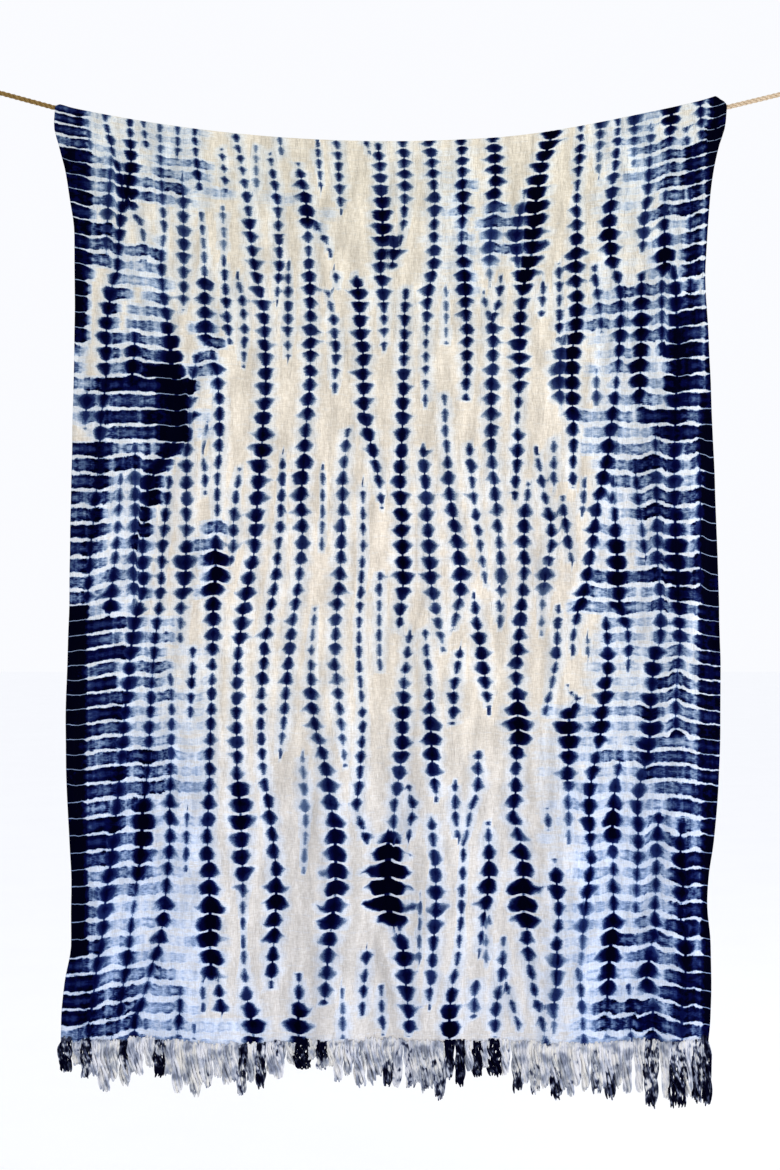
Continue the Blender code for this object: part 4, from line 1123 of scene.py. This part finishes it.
def dyed_cotton():
    g = Graph("dyed_cotton", 0.9)
    wobble = g.noise(g.places((34, 34, 40)), detail=2.0)
    away = g.field("line_distance")
    tie = g.plus(g.field("tie"), g.math("MULTIPLY_ADD", wobble, 0.30, -0.15))
    tie = g.less(tie, g.step(away, 0.0, 12.0, 0.0, 0.04))
    row = g.math("FLOOR", tie)
    x = g.split(g.places((1, 1, 1)), "X")
    peak = g.noise(g.vector(g.times(x, 21.0), g.times(row, 4.1), 5.0))
    upper = g.step(tie, 14.0, 28.0, 0.70, 1.0)
    peak = g.times(g.step(peak, 0.30, 0.70, 0.24, 0.68), upper)
    phase = g.math("FRACT", tie)
    rising = g.math("DIVIDE", phase, peak)
    falling = g.math("DIVIDE", g.less(1.0, phase), g.less(1.0, peak))
    swell = g.math("MINIMUM", rising, falling)
    swell = g.node(
        "ShaderNodeMapRange", None, {"Value": swell, "From Min": 0.13, "From Max": 1.0}
    ).outputs["Result"]
    tied = g.math("MINIMUM", phase, g.less(1.0, phase))

    bleed = g.noise(g.places((330, 330, 640)), detail=2.0, roughness=0.6)
    edge, blur, pale, beside_stem = bead_depth(g, tie, swell, bleed)
    core = g.step(edge, -2.4, 2.2, 1.0, 0.0)
    deep = g.step(edge, -8.0, -2.5, 1.0, 0.77)
    core = g.times(g.times(core, deep), pale)
    cut = g.step(tied, 0.030, 0.085)
    kept = g.less(1.0, g.times(g.less(1.0, cut), beside_stem))
    core = g.times(core, kept)
    halo = g.step(blur, -0.3, 1.0, 0.58, 0.0)
    halo = g.times(halo, g.step(tied, 0.03, 0.16))
    tint = g.step(edge, 0.0, 12.0, 0.105, 0.0)
    line_ink = g.times(g.math("MAXIMUM", core, halo), g.field("line_ink"))
    line_ink = g.math("MAXIMUM", line_ink, tint)

    streak = g.noise(g.places((100, 100, 480)), detail=2.0, roughness=0.65)
    high = g.plus(g.times(row, 7.7), g.times(tied, 2.4))
    cell = g.noise(g.vector(g.times(x, 75.0), high, 2.0))
    seam = g.noise(g.vector(g.times(x, 190.0), g.times(tie, 0.35), 0.0))
    odd = g.math("PINGPONG", row, 1.0)
    even = g.times(g.field("spread_even"), g.less(1.0, odd))
    amount = g.math("MULTIPLY_ADD", g.field("spread_odd"), odd, even)
    bluish = g.step(amount, 0.04, 0.30)
    uneven = g.math(
        "MULTIPLY", g.step(streak, 0.30, 0.70, 0.70, 1.18), g.step(cell, 0.30, 0.70, 0.52, 1.34)
    )
    uneven = g.times(uneven, g.step(seam, 0.30, 0.46, 0.80, 1.0))
    evened = g.times(g.less(1.0, uneven), g.step(amount, 0.7, 1.3, 0.0, 0.65))
    amount = g.times(amount, g.step(away, 2.0, 16.0, 1.14, 0.84))
    amount = g.times(amount, g.plus(uneven, evened))
    line = g.math("MAXIMUM", g.math("MULTIPLY_ADD", amount, -0.240, 0.370), 0.034)
    soak = g.step(tied, g.times(line, 0.35), line)
    rest = g.times(g.math("MAXIMUM", g.less(amount, 1.0), 0.0), 0.9)
    rest = g.math("MINIMUM", rest, 0.25)
    rest = g.math("MAXIMUM", rest, g.math("MINIMUM", g.times(amount, 0.2), 0.05))
    # Spreads of 1.6 and more may go fully black: at the side edges this is painted shade of the
    # turned-back edge as well as dye.
    most = g.math("MAXIMUM", g.step(cell, 0.36, 0.62, 0.76, 1.0), g.step(amount, 1.1, 1.6))
    hollow = g.step(tied, 0.14, 0.46, 0.90, 0.62)
    spread_dye_and_edge_shade = g.math("MINIMUM", g.times(amount, hollow), most)
    spread_dye_and_edge_shade = g.times(spread_dye_and_edge_shade, soak)
    spread_dye_and_edge_shade = g.math("MAXIMUM", spread_dye_and_edge_shade, rest)

    ink = g.math("MINIMUM", g.math("MAXIMUM", line_ink, spread_dye_and_edge_shade), 1.0)
    warp = g.noise(g.places((520, 520, 90)), detail=1.0)
    weft = g.noise(g.places((90, 90, 560)), detail=1.0)
    thread = g.times(warp, weft)
    ink = g.plus(ink, g.math("MULTIPLY_ADD", thread, 0.08, -0.02))
    faint = g.times(g.step(tied, 0.02, 0.09, 1.0, 0.0), g.step(cell, 0.45, 0.6))
    ink = g.plus(ink, g.times(faint, 0.025))
    colour = g.ramp(ink, DYE_STOPS)
    tone = g.ramp(g.math("DIVIDE", tie, LAST_TIE), TONE_STOPS)
    colour = g.mix(1.0, colour, tone, "MULTIPLY")
    colour = g.mix(bluish, colour, g.mix(1.0, colour, BLUISH, "MULTIPLY"))
    # Painted shade and highlight: this noise, stretched down the cloth, darkens and lightens the colour
    # as crinkles and soft creases would under the light. The thread term below is the weave's own
    # texture.
    painted_crinkle_shade = g.noise(g.places((34, 34, 11)), detail=4.0, roughness=0.65)
    shade = g.step(thread, 0.12, 0.38, 0.88, 1.06)
    shade = g.times(shade, g.step(painted_crinkle_shade, 0.30, 0.70, 0.85, 1.13))
    shaded = g.node("ShaderNodeHueSaturation", None, {"Value": shade, "Color": colour})

    crinkle = g.noise(g.places((85, 85, 20)), detail=3.0, roughness=0.6)
    pucker = g.step(tied, 0.0, 0.22)
    normal = g.bump(pucker, 0.0010, 0.5)
    normal = g.bump(crinkle, 0.008, 0.85, over=normal)
    normal = g.bump(thread, 0.0014, 0.6, over=normal)
    return g.finish(shaded.outputs["Color"], normal)


def cotton_yarn():
    g = Graph("cotton_yarn", 0.92)
    where = g.places((1, 1, 1))
    own = g.times(g.field("yarn"), 0.010)
    place = g.vector(
        g.math("MULTIPLY_ADD", g.split(where, "X"), 120.0, own),
        g.times(g.split(where, "Y"), 150.0),
        g.times(g.split(where, "Z"), 75.0),
    )
    fleck = g.noise(place, detail=1.0)
    low = g.math("MULTIPLY_ADD", g.field("ink"), -0.60, 0.71)
    ink = g.step(fleck, g.less(low, 0.05), g.plus(low, 0.34))
    smudge = g.noise(g.places((55, 55, 40)), detail=2.0)
    ink = g.math("MAXIMUM", ink, g.step(smudge, 0.38, 0.68, 0.0, 0.48))
    tone = g.ramp(g.math("FRACT", g.field("yarn")), YARN_TONES)
    colour = g.mix(1.0, g.ramp(ink, YARN_STOPS), tone, "MULTIPLY")
    fibre = g.noise(g.places((1100, 1100, 240)), detail=2.0)
    shade = g.step(fibre, 0.3, 0.7, 0.88, 1.02)
    shaded = g.node("ShaderNodeHueSaturation", None, {"Value": shade, "Color": colour})
    return g.finish(shaded.outputs["Color"], g.bump(fibre, 0.0012, 0.7))


def jute():
    g = Graph("jute", 0.9)
    along = g.times(g.field("along"), 160.0)
    strand = g.times(g.field("strand"), 7.0)
    fleck = g.noise(g.vector(along, strand, 0.0), detail=2.0)
    fibre = g.noise(g.places((500, 1300, 1300)), detail=2.0)
    blend = g.math("MULTIPLY_ADD", fibre, 0.6, g.times(fleck, 0.4))
    rightward = g.step(g.split(g.places((1, 1, 1)), "X"), -0.6, 0.6)
    colour = g.mix(rightward, g.ramp(blend, TAN_STOPS), g.ramp(blend, PALE_STOPS))
    return g.finish(colour, g.bump(fibre, 0.0015, 0.7))


def plain_floor():
    g = Graph("pale_floor", 0.9)
    speck = g.noise(g.places((3, 3, 3)), detail=3.0)
    return g.finish(g.ramp(speck, FLOOR_STOPS), g.bump(speck, 0.001, 0.1))


def make_camera():
    camera = bpy.data.cameras.new("camera")
    camera.sensor_width = SENSOR
    camera.lens = SENSOR * CAMERA_DISTANCE / (PHOTO_SIZE[1] * PX)
    obj = bpy.data.objects.new("camera", camera)
    x, z = from_photo(PHOTO_SIZE[0] / 2, PHOTO_SIZE[1] / 2)
    obj.location = (x, -CAMERA_DISTANCE, z)
    obj.rotation_euler = (math.pi / 2, 0, 0)
    bpy.context.scene.collection.objects.link(obj)
    bpy.context.scene.camera = obj


def make_light(name, place, size, power, target):
    light = bpy.data.lights.new(name, "AREA")
    light.shape = "RECTANGLE"
    light.size, light.size_y = size
    light.energy = power
    obj = bpy.data.objects.new(name, light)
    obj.location = place
    aim = np.array(target) - np.array(place)
    obj.rotation_euler = (
        math.atan2(math.hypot(aim[0], aim[1]), -aim[2]), 0, math.atan2(aim[0], -aim[1]) + math.pi
    )
    bpy.context.scene.collection.objects.link(obj)


def make_stage():
    mesh = bpy.data.meshes.new("floor")
    half = FLOOR_SIZE / 2
    corners = [(-half, -half), (half, -half), (half, half), (-half, half)]
    mesh.from_pydata([(x, y, FLOOR_Z) for x, y in corners], [], [(0, 1, 2, 3)])
    mesh.materials.append(plain_floor())
    floor = bpy.data.objects.new("floor", mesh)
    bpy.context.scene.collection.objects.link(floor)
    world = bpy.data.worlds.new("studio")
    world.use_nodes = True
    background = world.node_tree.nodes["Background"]
    background.inputs["Color"].default_value = WALL_COLOUR
    background.inputs["Strength"].default_value = 1.0
    bpy.context.scene.world = world
    make_light("key", KEY_PLACE, KEY_SIZE, KEY_POWER, CLOTH_MIDDLE)
    bpy.context.scene.view_settings.view_transform = "Standard"


def main():
    make_camera()
    jute_material = jute()
    rope, path = make_rope(jute_material)
    ends = make_rope_ends(jute_material)
    cloth, grid = make_cloth(dyed_cotton())
    fringe = make_fringe(grid, cotton_yarn())
    for piece, slot in (
        (rope, "jute"), (ends, "jute"), (cloth, "dyed_cotton"), (fringe, "cotton_yarn")
    ):
        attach(piece, "root")
    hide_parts("rope")
    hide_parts("cloth")
    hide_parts("fringe")
    make_stage()


main()
